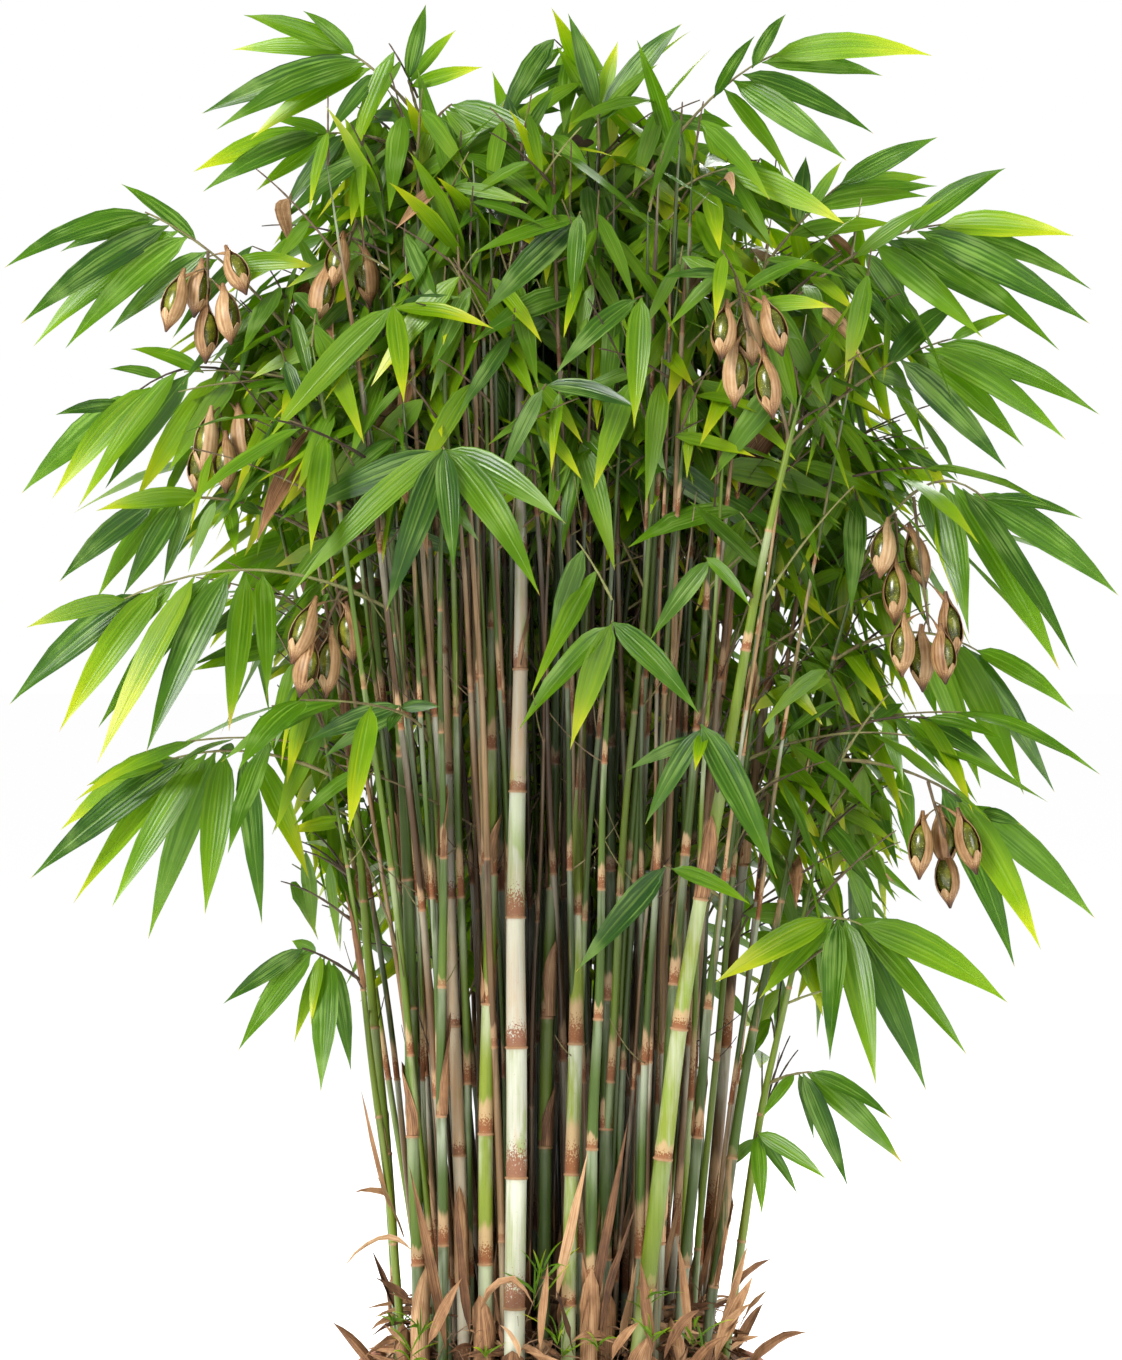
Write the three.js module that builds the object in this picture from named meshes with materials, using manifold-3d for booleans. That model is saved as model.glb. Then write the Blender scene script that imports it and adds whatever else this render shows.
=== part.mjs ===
// A clump of reed bamboo in a plain clay pot: slender ringed culms stand in the soil, arch outwards
// and carry twigs of long drooping leaves, with bunches of beaked fruit and dry litter at the foot.
// Millimetres, +Z up, origin at the middle of the pot's flat underside. The fullest face looks along -Y.
import * as THREE from "three";
import { mergeVertices } from "three/addons/utils/BufferGeometryUtils.js";
import Module from "manifold-3d";

const wasm = await Module();
wasm.setup();

// Pot and soil
const potHeight = 370;
const potBaseRadius = 222;
const potNeckRadius = 292;
const rimRadius = 312;
const rimHeight = 58;
const potWall = 15;
const potFloor = 18;
const roundSides = 24;
const drainRadius = 10;
const drainCircle = 120;
const drains = 4;
const soilEdgeHeight = 354;
const soilCrownHeight = 385;
const clearGap = 0.4;
const potEdge = { foot: 6, rim: 4, lip: 5, drain: 10 };

// Culms: the seats are the places on the spiral that the back culms may take.
const culmFoot = 285;
const clumpRadius = 236;
const culmSpacing = 36;
const backCulmSeats = 29;
const goldenAngle = Math.PI * (3 - Math.sqrt(5));
const backCulmFront = -128;
const backCulmSpread = [1.75, 2.1];
const backCulmRadius = [5, 9.5];
const internode = 188;
const firstRing = 201;
const frontRings = 4;
const backRings = 2;
const backRingSpacing = 1.5;
const ringStep = 7;
const ridge = 1.16;
const bendShare = 0.78;
const taperFrom = 0.3;
const tipShare = 0.28;
const crownHeight = 2225;
const crownFall = 0.0072;

// Leaves: widths as shares of their length, within the narrowest and the widest.
const leafShare = 0.19;
const leafNarrowest = 20;
const leafWidest = 46;
const leafWidestAt = 0.34;
const leafNarrowing = { from: 265, at: 0.7, share: 0.36 };
const bladeThickness = 1.3;
const petiole = 0.7;
const crossingShare = 0.06;
const outermost = 0.97;
const measuredLeaf = { inwards: 0.55, aside: [15, 55], forward: 30, roll: 0.5, lift: [0.05, 0.14] };
const fannedLeaf = { inwards: 0.5, fall: [0.1, 0.5], innerFall: 0.9, turn: [0.3, 0.9], lastTurn: 0.2,
  length: [190, 250], roll: 0.35, lift: [12, 30] };
const tuftLeaf = { length: 195, longer: [0.87, 1.13], rise: [0.5, 1.2], lift: [15, 35] };
const widthSpread = [0.9, 1.1];

// Twigs and fruit
const twigRadius = 3.4;
const twigTaper = 0.35;
const twigStations = [0, 0.36, 0.7, 1];
const fruitRadius = 16;
const fruitLength = 92;
const stalkRadius = 1.4;
const rachisRadius = 2.5;
const stalkRise = 16;

// The view that the clump was measured in: pixels become millimetres at the clump's middle plane.
const pixel = 1.5;
const viewMiddle = { x: 561, y: 680 };
const eyeHeight = 1394;
const eyeDistance = 6000;

const right = new THREE.Vector3(1, 0, 0);
const ahead = new THREE.Vector3(0, 1, 0);
const up = new THREE.Vector3(0, 0, 1);

// Front culms: foot x and depth, tip x, y and depth, diameter, leaves in the tuft at the tip.
const frontCulms = [
  { foot: [514, -226], tip: [524, 150, -150], diameter: 30, tuft: 0 },
  { foot: [484, -208], tip: [500, 240, -140], diameter: 21, tuft: 2 },
  { foot: [466, -168], tip: [418, 98, -70], diameter: 19, tuft: 0 },
  { foot: [443, -180], tip: [441, 425, -205], diameter: 15, tuft: 0 },
  { foot: [422, -136], tip: [380, 262, -90], diameter: 20, tuft: 0 },
  { foot: [404, -50], tip: [300, 330, 0], diameter: 15, tuft: 0 },
  { foot: [409, -88], tip: [318, 690, -105], diameter: 12, tuft: 0 },
  { foot: [541, -186], tip: [570, 190, -80], diameter: 19, tuft: 0 },
  { foot: [567, -224], tip: [600, 122, -60], diameter: 21, tuft: 0 },
  { foot: [604, -190], tip: [620, 200, -20], diameter: 19, tuft: 0 },
  { foot: [629, -212], tip: [800, 395, -250], diameter: 26, tuft: 2 },
  { foot: [648, -196], tip: [738, 290, -120], diameter: 17, tuft: 0 },
  { foot: [671, -172], tip: [770, 560, -140], diameter: 16, tuft: 2 },
  { foot: [694, -132], tip: [865, 540, -60], diameter: 15, tuft: 0 },
  { foot: [715, -76], tip: [850, 730, -110], diameter: 13, tuft: 0 },
  { foot: [587, -212], tip: [612, 600, -240], diameter: 17, tuft: 0 },
];

// Leafy twigs: the culm that bears one, where it leaves it (y), where it ends (x, y, depth), how far
// it arches, and the leaf tips, from the end of the twig inwards.
const sprays = [
  { name: "crownLeft", culm: 3, at: 118, to: [343, 48, -60], arch: 20,
    tips: [[243, 15], [232, 50], [304, 14], [201, 114], [216, 130], [249, 141], [326, 138], [366, 118]] },
  { name: "crownLeftTop", culm: 3, at: 104, to: [408, 80, -80], arch: 6,
    tips: [[426, 4], [456, 30], [483, 67]] },
  { name: "crownLeftUnder", culm: 3, at: 140, to: [452, 104, -110], arch: 14,
    tips: [[562, 157], [558, 202], [499, 179], [478, 229], [460, 225], [410, 196]] },
  { name: "secondLeft", culm: 3, at: 165, to: [312, 135, 20], arch: 30,
    tips: [[193, 172], [206, 197], [270, 120], [256, 191], [280, 218], [318, 226], [345, 222],
      [349, 179]] },
  { name: "fruitLeft", culm: 5, at: 300, to: [350, 204, -110], arch: 14,
    tips: [[331, 236], [389, 150]] },
  { name: "farLeft", culm: 6, at: 345, to: [145, 212, -40], arch: 50,
    tips: [[4, 268], [60, 252], [21, 324], [33, 347], [65, 349], [118, 181], [104, 329], [133, 309],
      [318, 268]] },
  { name: "thirdLeft", culm: 6, at: 440, to: [118, 408, 60], arch: 165,
    tips: [[55, 415], [16, 492], [52, 499], [109, 369], [78, 508], [105, 489], [130, 349],
      [134, 503]] },
  { name: "fourthLeft", culm: 6, at: 540, to: [150, 503, -60], arch: 60,
    tips: [[59, 582], [96, 600], [123, 596], [163, 584], [98, 512], [188, 573], [236, 557],
      [263, 516]] },
  { name: "fifthLeft", culm: 5, at: 612, to: [118, 602, -170], arch: 110,
    tips: [[29, 628], [9, 705], [59, 732], [73, 700], [97, 764], [98, 728], [146, 753], [229, 732],
      [267, 700]] },
  { name: "lowLeft", culm: 7, at: 775, to: [165, 761, -60], arch: 50,
    tips: [[86, 786], [55, 832], [30, 879], [73, 904], [112, 907], [148, 940], [205, 915], [218, 750],
      [262, 925], [309, 879]] },
  { name: "lowestLeft", culm: 7, at: 985, to: [302, 948, -150], arch: 12,
    tips: [[223, 1004], [258, 999], [238, 1051], [290, 942], [311, 1026], [294, 1043], [322, 1090],
      [351, 1071]] },
  { name: "crownMiddle", culm: 9, at: 150, to: [598, 112, -70], arch: 4,
    tips: [[568, 13], [618, 41], [658, 64], [556, 45], [683, 20]] },
  { name: "crownGap", culm: 1, at: 190, to: [522, 142, -110], arch: 4,
    tips: [[556, 86], [506, 96], [476, 118], [548, 150]] },
  { name: "crownRight", culm: 10, at: 222, to: [776, 54, -50], arch: 80,
    tips: [[933, 56], [883, 76], [786, 14], [874, 134], [847, 161], [795, 182], [754, 39], [736, 206],
      [733, 127]] },
  { name: "secondRight", culm: 12, at: 315, to: [842, 183, 60], arch: 30,
    tips: [[938, 137], [933, 170], [938, 186], [926, 199], [842, 161], [806, 156], [897, 224]] },
  { name: "farRight", culm: 12, at: 372, to: [945, 224, -40], arch: 90,
    tips: [[1074, 236], [1092, 290], [1090, 324], [1006, 168], [1060, 351], [1028, 326], [983, 338],
      [922, 336], [940, 202], [895, 300], [854, 333]] },
  { name: "thirdRight", culm: 11, at: 455, to: [955, 338, 20], arch: 50,
    tips: [[1014, 313], [1100, 415], [1066, 440], [1024, 447], [1007, 470], [960, 302], [915, 390]] },
  { name: "fourthRight", culm: 14, at: 575, to: [987, 501, -80], arch: 150,
    tips: [[1083, 519], [1119, 596], [1078, 668], [1060, 671], [969, 635], [958, 607], [935, 546]] },
  { name: "fifthRight", culm: 14, at: 660, to: [980, 652, 10], arch: 70,
    tips: [[1074, 712], [1055, 793], [1024, 795], [1012, 750], [981, 789], [938, 720]] },
  { name: "sixthRight", culm: 14, at: 745, to: [930, 718, -90], arch: 30,
    tips: [[1005, 741], [1003, 771], [978, 804], [940, 768], [904, 786], [906, 703]] },
  { name: "fruitRight", culm: 15, at: 760, to: [985, 815, -110], arch: 40,
    tips: [[1022, 825], [1098, 920], [1041, 950], [1015, 968]] },
  { name: "lowRight", culm: 15, at: 930, to: [862, 925, -170], arch: 24,
    tips: [[1008, 1003], [967, 1055], [930, 1095], [945, 950], [876, 1085], [832, 1016], [827, 1057],
      [759, 999], [714, 981]] },
  { name: "lowerRight", culm: 15, at: 1085, to: [812, 1072, -110], arch: 8,
    tips: [[893, 1120], [903, 1164], [848, 1187], [814, 1140], [761, 1119]] },
  { name: "lowestRight", culm: 15, at: 1160, to: [757, 1132, -130], arch: 4,
    tips: [[827, 1180], [798, 1195], [762, 1216], [719, 1178]] },
  { name: "frontFan", culm: 4, at: 470, to: [444, 449, -330], arch: 30,
    tips: [[454, 571], [386, 612], [540, 596], [296, 588], [566, 523], [297, 512]] },
  { name: "frontLeft", culm: 5, at: 345, to: [394, 304, -260], arch: 30,
    tips: [[404, 404], [268, 440], [494, 329], [461, 297]] },
  { name: "frontCrown", culm: 8, at: 265, to: [580, 212, -270], arch: 30,
    tips: [[572, 304], [469, 256], [481, 315]] },
  { name: "frontMiddle", culm: 9, at: 340, to: [643, 296, -300], arch: 30,
    tips: [[634, 429], [555, 375]] },
  { name: "frontRight", culm: 11, at: 440, to: [722, 250, -290], arch: 60,
    tips: [[715, 324], [667, 329], [658, 279], [813, 259], [835, 308], [800, 340]] },
  { name: "frontPair", culm: 16, at: 660, to: [612, 621, -320], arch: 20,
    tips: [[699, 714], [570, 750], [517, 732]] },
  { name: "frontSingle", culm: 11, at: 800, to: [700, 722, -330], arch: 24,
    tips: [[777, 879], [645, 825], [695, 771], [627, 771]] },
  { name: "frontLow", culm: 13, at: 905, to: [664, 866, -300], arch: 10,
    tips: [[576, 972], [751, 905]] },
  { name: "innerRight", culm: 11, at: 600, to: [704, 556, -290], arch: 10,
    tips: [[751, 608], [650, 640]] },
  { name: "innerMiddle", culm: 1, at: 430, to: [546, 384, -270], arch: 10,
    tips: [[640, 410], [500, 480]] },
  { name: "innerLeft", culm: 5, at: 745, to: [400, 705, -240], arch: 10,
    tips: [[304, 743], [440, 707], [388, 732], [322, 759]] },
];

// Fruit bunches: the twig and how far along it the stalk leaves, and the middle of each fruit.
const fruitBunches = [
  { spray: "farLeft", along: 0.6,
    fruits: [[175, 300], [198, 288], [236, 270], [206, 331], [227, 314]] },
  { spray: "fruitLeft", along: 0.8, fruits: [[338, 260], [367, 275], [322, 292]] },
  { spray: "thirdLeft", along: 0.45, fruits: [[207, 441], [200, 464], [226, 462], [242, 438]] },
  { spray: "fifthLeft", along: 0.2, fruits: [[304, 630], [350, 633], [306, 666], [329, 662]] },
  { spray: "frontRight", along: 0.8,
    fruits: [[724, 330], [749, 334], [773, 326], [735, 372], [768, 384]] },
  { spray: "fourthRight", along: 0.3, fruits: [[884, 548], [917, 556], [895, 590]] },
  { spray: "fourthRight", along: 0.44, fruits: [[903, 645], [922, 658], [943, 654], [950, 626]] },
  { spray: "fruitRight", along: 0.6, fruits: [[921, 845], [943, 838], [967, 841], [947, 876]] },
];

// Twigs all round the back and sides, on the culms that stand this far out: heights as shares of the culm.
const roundFrom = 140;
const roundTwigs = [
  { share: 0.55, length: 330, rise: 60, leaves: 3 },
  { share: 0.78, length: 280, rise: 90, leaves: 3 },
];

// The litter ring and its dry blades
const litter = { inner: 270, outer: 288, thickness: 11, blades: 14, length: 120, width: 17 };

// How far a culm's tip, a twig's middle, a leaf's tip and a bunch may move to come clear of the rest.
const leans = [0, 40, -40, 80, -80, 130, -130];
const bows = [0, -45, 45, -90, 90, -135, 135];
const swings = [0, 30, -30, 60, -60, 90, -90, 125, -125];
const forwards = [24, 44, 64, 84, 0, -24, -44];

function randomStream(seed) {
  let state = seed;
  return (low, high) => {
    state = (Math.imul(state, 1664525) + 1013904223) >>> 0;
    return low + ((high - low) * state) / 4294967296;
  };
}

// A point of the view at a depth behind the clump's middle plane, as a place in space.
function seen(x, y, depth) {
  const scale = (pixel * (eyeDistance + depth)) / eyeDistance;
  return new THREE.Vector3((x - viewMiddle.x) * scale, depth, eyeHeight + (viewMiddle.y - y) * scale);
}

// A closed three.js geometry as a solid that can be cut and joined, with its faces turned outwards.
function solid(geometry) {
  const bare = new THREE.BufferGeometry();
  bare.setAttribute("position", geometry.getAttribute("position"));
  bare.setIndex(geometry.index);
  const merged = mergeVertices(bare, 1e-3);
  const triangles = [];
  for (let i = 0; i < merged.index.count; i += 3) {
    const [a, b, c] = [0, 1, 2].map((k) => merged.index.getX(i + k));
    if (a !== b && b !== c && a !== c) triangles.push(a, b, c);
  }
  const vertProperties = merged.attributes.position.array;
  const make = (corners) =>
    new wasm.Manifold(new wasm.Mesh({ numProp: 3, vertProperties, triVerts: new Uint32Array(corners) }));
  const made = make(triangles);
  return made.volume() > 0 ? made : make(triangles.reverse());
}

// A round solid about the pot's axis, from an outline of [radius, height].
function turned(outline) {
  const profile = outline.map(([r, z]) => new THREE.Vector2(r, z));
  return solid(new THREE.LatheGeometry(profile, roundSides).rotateX(Math.PI / 2));
}

// A turned shape whose profile is [radius, share along the curve], carried along the curve.
function turnedAlong(curve, profile, sides, across, beside) {
  const geometry = new THREE.LatheGeometry(profile.map(([r, t]) => new THREE.Vector2(r, t)), sides);
  const place = geometry.getAttribute("position");
  for (let i = 0; i < place.count; i += 1) {
    const [x, t, z] = [place.getX(i), place.getY(i), place.getZ(i)];
    const p = curve.getPoint(t).addScaledVector(across, x).addScaledVector(beside, z);
    place.setXYZ(i, p.x, p.y, p.z);
  }
  return solid(geometry);
}

// A point on the axis of a shape turned along the curve, which is straight between its rings.
function onAxis(curve, rings, along) {
  const next = Math.max(1, rings.findIndex((t) => t >= along));
  const [low, high] = [rings[next - 1], rings[next]];
  return curve.getPoint(low).lerp(curve.getPoint(high), (along - low) / (high - low));
}

// The unit direction at right angles to both.
function squareTo(direction, hint) {
  return new THREE.Vector3().crossVectors(direction, hint).normalize();
}

function pot() {
  const neck = potHeight - rimHeight;
  const outline = [
    [0, 0], [potBaseRadius - potEdge.foot, 0], [potBaseRadius, potEdge.foot], [potNeckRadius, neck],
    [rimRadius - potEdge.rim, neck + potEdge.rim], [rimRadius, potHeight - potEdge.foot],
    [rimRadius - potEdge.lip, potHeight], [potNeckRadius + 1, potHeight],
    [potNeckRadius - potWall, neck], [potBaseRadius - potWall, potFloor], [0, potFloor],
  ];
  const holes = Array.from({ length: drains }, (_, k) => {
    const turn = ((k + 0.5) * 2 * Math.PI) / drains;
    const hole = new THREE.CylinderGeometry(drainRadius, drainRadius, 3 * potFloor, potEdge.drain);
    hole.rotateX(Math.PI / 2);
    return solid(hole.translate(drainCircle * Math.cos(turn), drainCircle * Math.sin(turn), potFloor / 2));
  });
  return turned(outline).subtract(wasm.Manifold.union(holes));
}

function soil(holes) {
  const neck = potHeight - rimHeight;
  const wallAt = (z) => potNeckRadius - potWall + ((potWall + 1) * (z - neck)) / rimHeight;
  const outline = [
    [0, potFloor + clearGap], [potBaseRadius - potWall - 2 * clearGap, potFloor + clearGap],
    [potNeckRadius - potWall - 2 * clearGap, neck], [wallAt(soilEdgeHeight) - 2 * clearGap, soilEdgeHeight],
    [litter.inner - 12, soilEdgeHeight + 3], [0, soilCrownHeight],
  ];
  return turned(outline).subtract(wasm.Manifold.union(holes));
}

// The path of a culm, which leans outwards more as it rises.
function culmCurve(foot, tip) {
  const middle = foot.clone().lerp(tip, 0.3).setZ((foot.z + tip.z) / 2);
  return new THREE.QuadraticBezierCurve3(foot, middle, tip);
}

// Every culm's foot, tip and radius: the measured front ones, then the rest on a sunflower's spiral.
function listCulms() {
  const random = randomStream(7);
  const culms = frontCulms.map(({ foot, tip, diameter, tuft }) => {
    const start = seen(foot[0], viewMiddle.y, foot[1]).setZ(culmFoot);
    const sides = diameter > 18 ? 6 : 5;
    return { foot: start, tip: seen(...tip), radius: diameter / 2, sides, tuft, front: true };
  });
  for (let k = 0; k < backCulmSeats; k += 1) {
    const reach = clumpRadius * Math.sqrt((k + 0.5) / backCulmSeats);
    const turn = k * goldenAngle;
    const foot = new THREE.Vector3(reach * Math.cos(turn), reach * Math.sin(turn), culmFoot);
    const spread = random(...backCulmSpread);
    const height = crownHeight - crownFall * reach * reach + random(-110, 70);
    const radius = random(...backCulmRadius);
    const crowded = culms.some((other) => other.foot.distanceTo(foot) < culmSpacing);
    if (foot.y < backCulmFront || crowded) continue;
    const tip = foot.clone().multiplyScalar(spread).setZ(height);
    culms.push({ foot, tip, radius, sides: 5, tuft: 2, front: false });
  }
  return culms;
}

// Shares of the culm's height at which it is ringed, on the lower part that the leaves leave bare.
function ringShares(culm, index) {
  const height = culm.curve.v2.z - culm.curve.v0.z;
  const spacing = culm.front ? internode : backRingSpacing * internode;
  const first = firstRing + ((index * 61) % 97);
  const count = culm.front ? frontRings : backRings;
  return Array.from({ length: count }, (_, k) => (first + k * spacing) / height)
    .filter((share) => share < bendShare - 0.08);
}

// A point on the axis of the culm.
function onCulm(culm, index, share) {
  return onAxis(culm.curve, [0, ...ringShares(culm, index), bendShare, 1], Math.min(0.985, share));
}

function culmSolid(culm, index, grow = 0) {
  const step = ringStep / (culm.curve.v2.z - culm.curve.v0.z);
  const narrowed = (t) => ((1 - tipShare) * Math.max(0, t - taperFrom)) / (1 - taperFrom);
  const taper = (t) => culm.radius * (1 - narrowed(t)) + grow;
  const profile = [[0, 0], [taper(0), 0]];
  for (const t of ringShares(culm, index)) profile.push([taper(t), t - step], [ridge * taper(t), t]);
  profile.push([taper(bendShare), bendShare], [taper(1), 1], [0, 1]);
  return turnedAlong(culm.curve, profile, culm.sides, right, ahead);
}

// The plain hole in the soil that the culm stands in, around its straight lowest length.
function soilHole(culm, index) {
  const height = culm.curve.v2.z - culm.curve.v0.z;
  const wide = culm.radius + clearGap;
  const [low, high] = [-clearGap / height, ringShares(culm, index)[0] - ringStep / height];
  const profile = [[0, low], [wide, low], [wide, high], [0, high]];
  return turnedAlong(culm.curve, profile, culm.sides, right, ahead);
}

// The arch of a blade from root to tip, raised by its lift.
function bladeCurve({ root, tip, lift }) {
  return new THREE.QuadraticBezierCurve3(root, root.clone().lerp(tip, 0.5).addScaledVector(up, lift), tip);
}

// A thin blade: three corners round at each station, keeled below, closed by a point at the tip.
function blade(leaf, grow = 0, from = 0) {
  const { root, tip, across, width } = leaf;
  const curve = bladeCurve(leaf);
  const length = root.distanceTo(tip);
  const out = squareTo(across, tip.clone().sub(root));
  const halfAt = (t) => petiole + ((width / 2 - petiole) * t) / leafWidestAt;
  const stations = [[from, halfAt(from)], [leafWidestAt, width / 2]];
  if (length > leafNarrowing.from) stations.push([leafNarrowing.at, leafNarrowing.share * width]);
  const corners = [];
  for (const [t, half] of stations) {
    const middle = curve.getPoint(t).addScaledVector(out, grow);
    corners.push(middle.clone().addScaledVector(across, half + grow));
    corners.push(middle.clone().addScaledVector(across, -half - grow));
    const keel = Math.min(bladeThickness, half) + 2 * grow;
    corners.push(middle.clone().addScaledVector(out, -keel));
  }
  corners.push(tip);
  const index = [0, 2, 1];
  const last = corners.length - 1;
  for (let ring = 0; ring < last; ring += 3)
    for (let k = 0; k < 3; k += 1) {
      const [a, b] = [ring + k, ring + ((k + 1) % 3)];
      if (ring + 3 === last) index.push(a, b, last);
      else index.push(a, b, b + 3, a, b + 3, a + 3);
    }
  return solid(new THREE.BufferGeometry().setFromPoints(corners).setIndex(index));
}

// Everything placed so far, with the node that it belongs to, so that what comes next keeps clear.
const placed = [];

function place(owner, part) {
  placed.push({ owner, part, box: part.boundingBox() });
}

// True if the piece, grown by the gap, meets no other node, and its outer part nothing of its own node.
function isClear(owner, grown, outer = null) {
  const box = grown.boundingBox();
  return !placed.some((other) => {
    const apart = [0, 1, 2].some((k) => box.min[k] > other.box.max[k] || box.max[k] < other.box.min[k]);
    const tested = other.owner === owner ? outer : grown;
    if (apart || !tested) return false;
    const common = tested.intersect(other.part);
    const meets = !common.isEmpty();
    common.delete();
    return meets;
  });
}

// A culm whose tip leans aside until it is clear of the culms before it.
function clearCulm(culm, index) {
  const aside = culm.front ? ahead : squareTo(culm.foot.clone().setZ(0), up);
  for (const lean of leans) {
    culm.curve = culmCurve(culm.foot, culm.tip.clone().addScaledVector(aside, lean));
    if (isClear(nameOf(index), culmSolid(culm, index, 2 * clearGap))) break;
  }
  const made = culmSolid(culm, index);
  place(nameOf(index), made);
  return made;
}

// The leaves of a twig or a tip: each swings about its root until it is clear, or is left out.
function growLeaves(index, leaves) {
  const owner = nameOf(index);
  for (const leaf of leaves) {
    const swungBy = (swing) => ({ ...leaf, tip: leaf.tip.clone().addScaledVector(leaf.aside, swing) });
    const free = swings.map(swungBy).find((swung) =>
      isClear(owner, blade(swung, clearGap), blade(swung, 0, crossingShare)));
    if (!free) continue;
    const made = blade(free);
    place(owner, made);
    stems[index].push(made);
  }
}

// A three-sided twig that tapers from the culm to its end.
function twigSolid(curve, grow = 0) {
  const way = curve.v2.clone().sub(curve.v0);
  const across = squareTo(way, up);
  const wide = (t) => twigRadius * (1 - twigTaper * t) + grow;
  const profile = [[0, 0], ...twigStations.map((t) => [wide(t), t]), [0, 1]];
  return turnedAlong(curve, profile, 3, across, squareTo(way, across));
}

// The arch of a twig, bowed sideways until it is clear of every other node, or nothing.
function growTwig(index, { root, end, arch, aside }) {
  const middle = root.clone().lerp(end, 0.5).addScaledVector(up, arch);
  const tries = bows.map((bow) =>
    new THREE.QuadraticBezierCurve3(root, middle.clone().addScaledVector(aside, bow), end));
  const curve = tries.find((tried) => isClear(nameOf(index), twigSolid(tried, clearGap)));
  if (!curve) return null;
  const made = twigSolid(curve);
  place(nameOf(index), made);
  stems[index].push(made);
  return curve;
}

// The direction across a blade that faces the given way, rolled about its length.
function bladeAcross(root, tip, facing, roll) {
  const along = tip.clone().sub(root).normalize();
  return squareTo(along, facing).applyAxisAngle(along, roll);
}

function leafWidth(root, tip, share) {
  return Math.min(leafWidest, Math.max(leafNarrowest, root.distanceTo(tip) * leafShare)) * share;
}

// The leaves of a measured twig: each runs from the twig to its own tip in the view.
function measuredLeaves(spray, curve) {
  const random = randomStream(spray.name.length * 977 + spray.to[0]);
  const facing = new THREE.Vector3(0, -1, 0.3);
  return spray.tips.map(([x, y], k) => {
    const along = outermost - (measuredLeaf.inwards * k) / Math.max(6, spray.tips.length);
    const root = onAxis(curve, twigStations, along);
    const side = k % 2 ? 1 : -1;
    const depth = spray.to[2] + side * random(...measuredLeaf.aside) - random(0, measuredLeaf.forward);
    const tip = seen(x, y, depth);
    const roll = random(-measuredLeaf.roll, measuredLeaf.roll);
    const width = leafWidth(root, tip, random(...widthSpread));
    const lift = random(...measuredLeaf.lift) * root.distanceTo(tip);
    return { root, tip, lift, width, across: bladeAcross(root, tip, facing, roll), aside: ahead };
  });
}

// The leaves of a twig placed by rule: the last runs on with the twig, the inner ones hang.
function fannedLeaves(curve, outward, count, random) {
  const sideways = squareTo(outward, up);
  const facing = outward.clone().add(up);
  return Array.from({ length: count }, (_, k) => {
    const root = onAxis(curve, twigStations, outermost - (fannedLeaf.inwards * k) / count);
    const fall = random(...fannedLeaf.fall) + (fannedLeaf.innerFall * k) / count;
    const turn = (k % 2 ? 1 : -1) * (k ? random(...fannedLeaf.turn) : random(0, fannedLeaf.lastTurn));
    const way = outward.clone().multiplyScalar(Math.cos(turn) * Math.cos(fall))
      .addScaledVector(sideways, Math.sin(turn) * Math.cos(fall)).addScaledVector(up, -Math.sin(fall));
    const tip = root.clone().addScaledVector(way, random(...fannedLeaf.length));
    const roll = random(-fannedLeaf.roll, fannedLeaf.roll);
    const lift = random(...fannedLeaf.lift);
    const width = leafWidth(root, tip, random(...widthSpread));
    return { root, tip, lift, width, across: bladeAcross(root, tip, facing, roll), aside: sideways };
  });
}

// The upright leaves at the very tip of a culm.
function tuftLeaves(culm, index, random) {
  const root = onCulm(culm, index, 1);
  return Array.from({ length: culm.tuft }, (_, k) => {
    const turn = (2 * Math.PI * k) / culm.tuft + random(0, 6.28);
    const rise = random(...tuftLeaf.rise);
    const outward = new THREE.Vector3(Math.cos(turn), Math.sin(turn), 0);
    const reach = tuftLeaf.length * random(...tuftLeaf.longer) * Math.cos(rise);
    const tip = root.clone().addScaledVector(outward, reach).setZ(root.z + tuftLeaf.length * Math.sin(rise));
    const across = bladeAcross(root, tip, outward.clone().sub(up), 0);
    const width = leafWidth(root, tip, 1);
    return { root, tip, lift: random(...tuftLeaf.lift), width, across, aside: squareTo(outward, up) };
  });
}

// A turned shape with straight stretches between the points of its axis.
function turnedStraight(points, radii, sides) {
  const path = new THREE.CurvePath();
  for (let k = 1; k < points.length; k += 1) path.add(new THREE.LineCurve3(points[k - 1], points[k]));
  const length = path.getLength();
  const shares = path.getCurveLengths().map((along) => along / length);
  const profile = [[0, 0], ...radii.map((r, k) => [r, k ? shares[k - 1] : 0])];
  if (radii.at(-1) > 0) profile.push([0, 1]);
  const way = points.at(-1).clone().sub(points[0]);
  const across = squareTo(way, ahead);
  return turnedAlong(path, profile, sides, across, squareTo(way, across));
}

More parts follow.
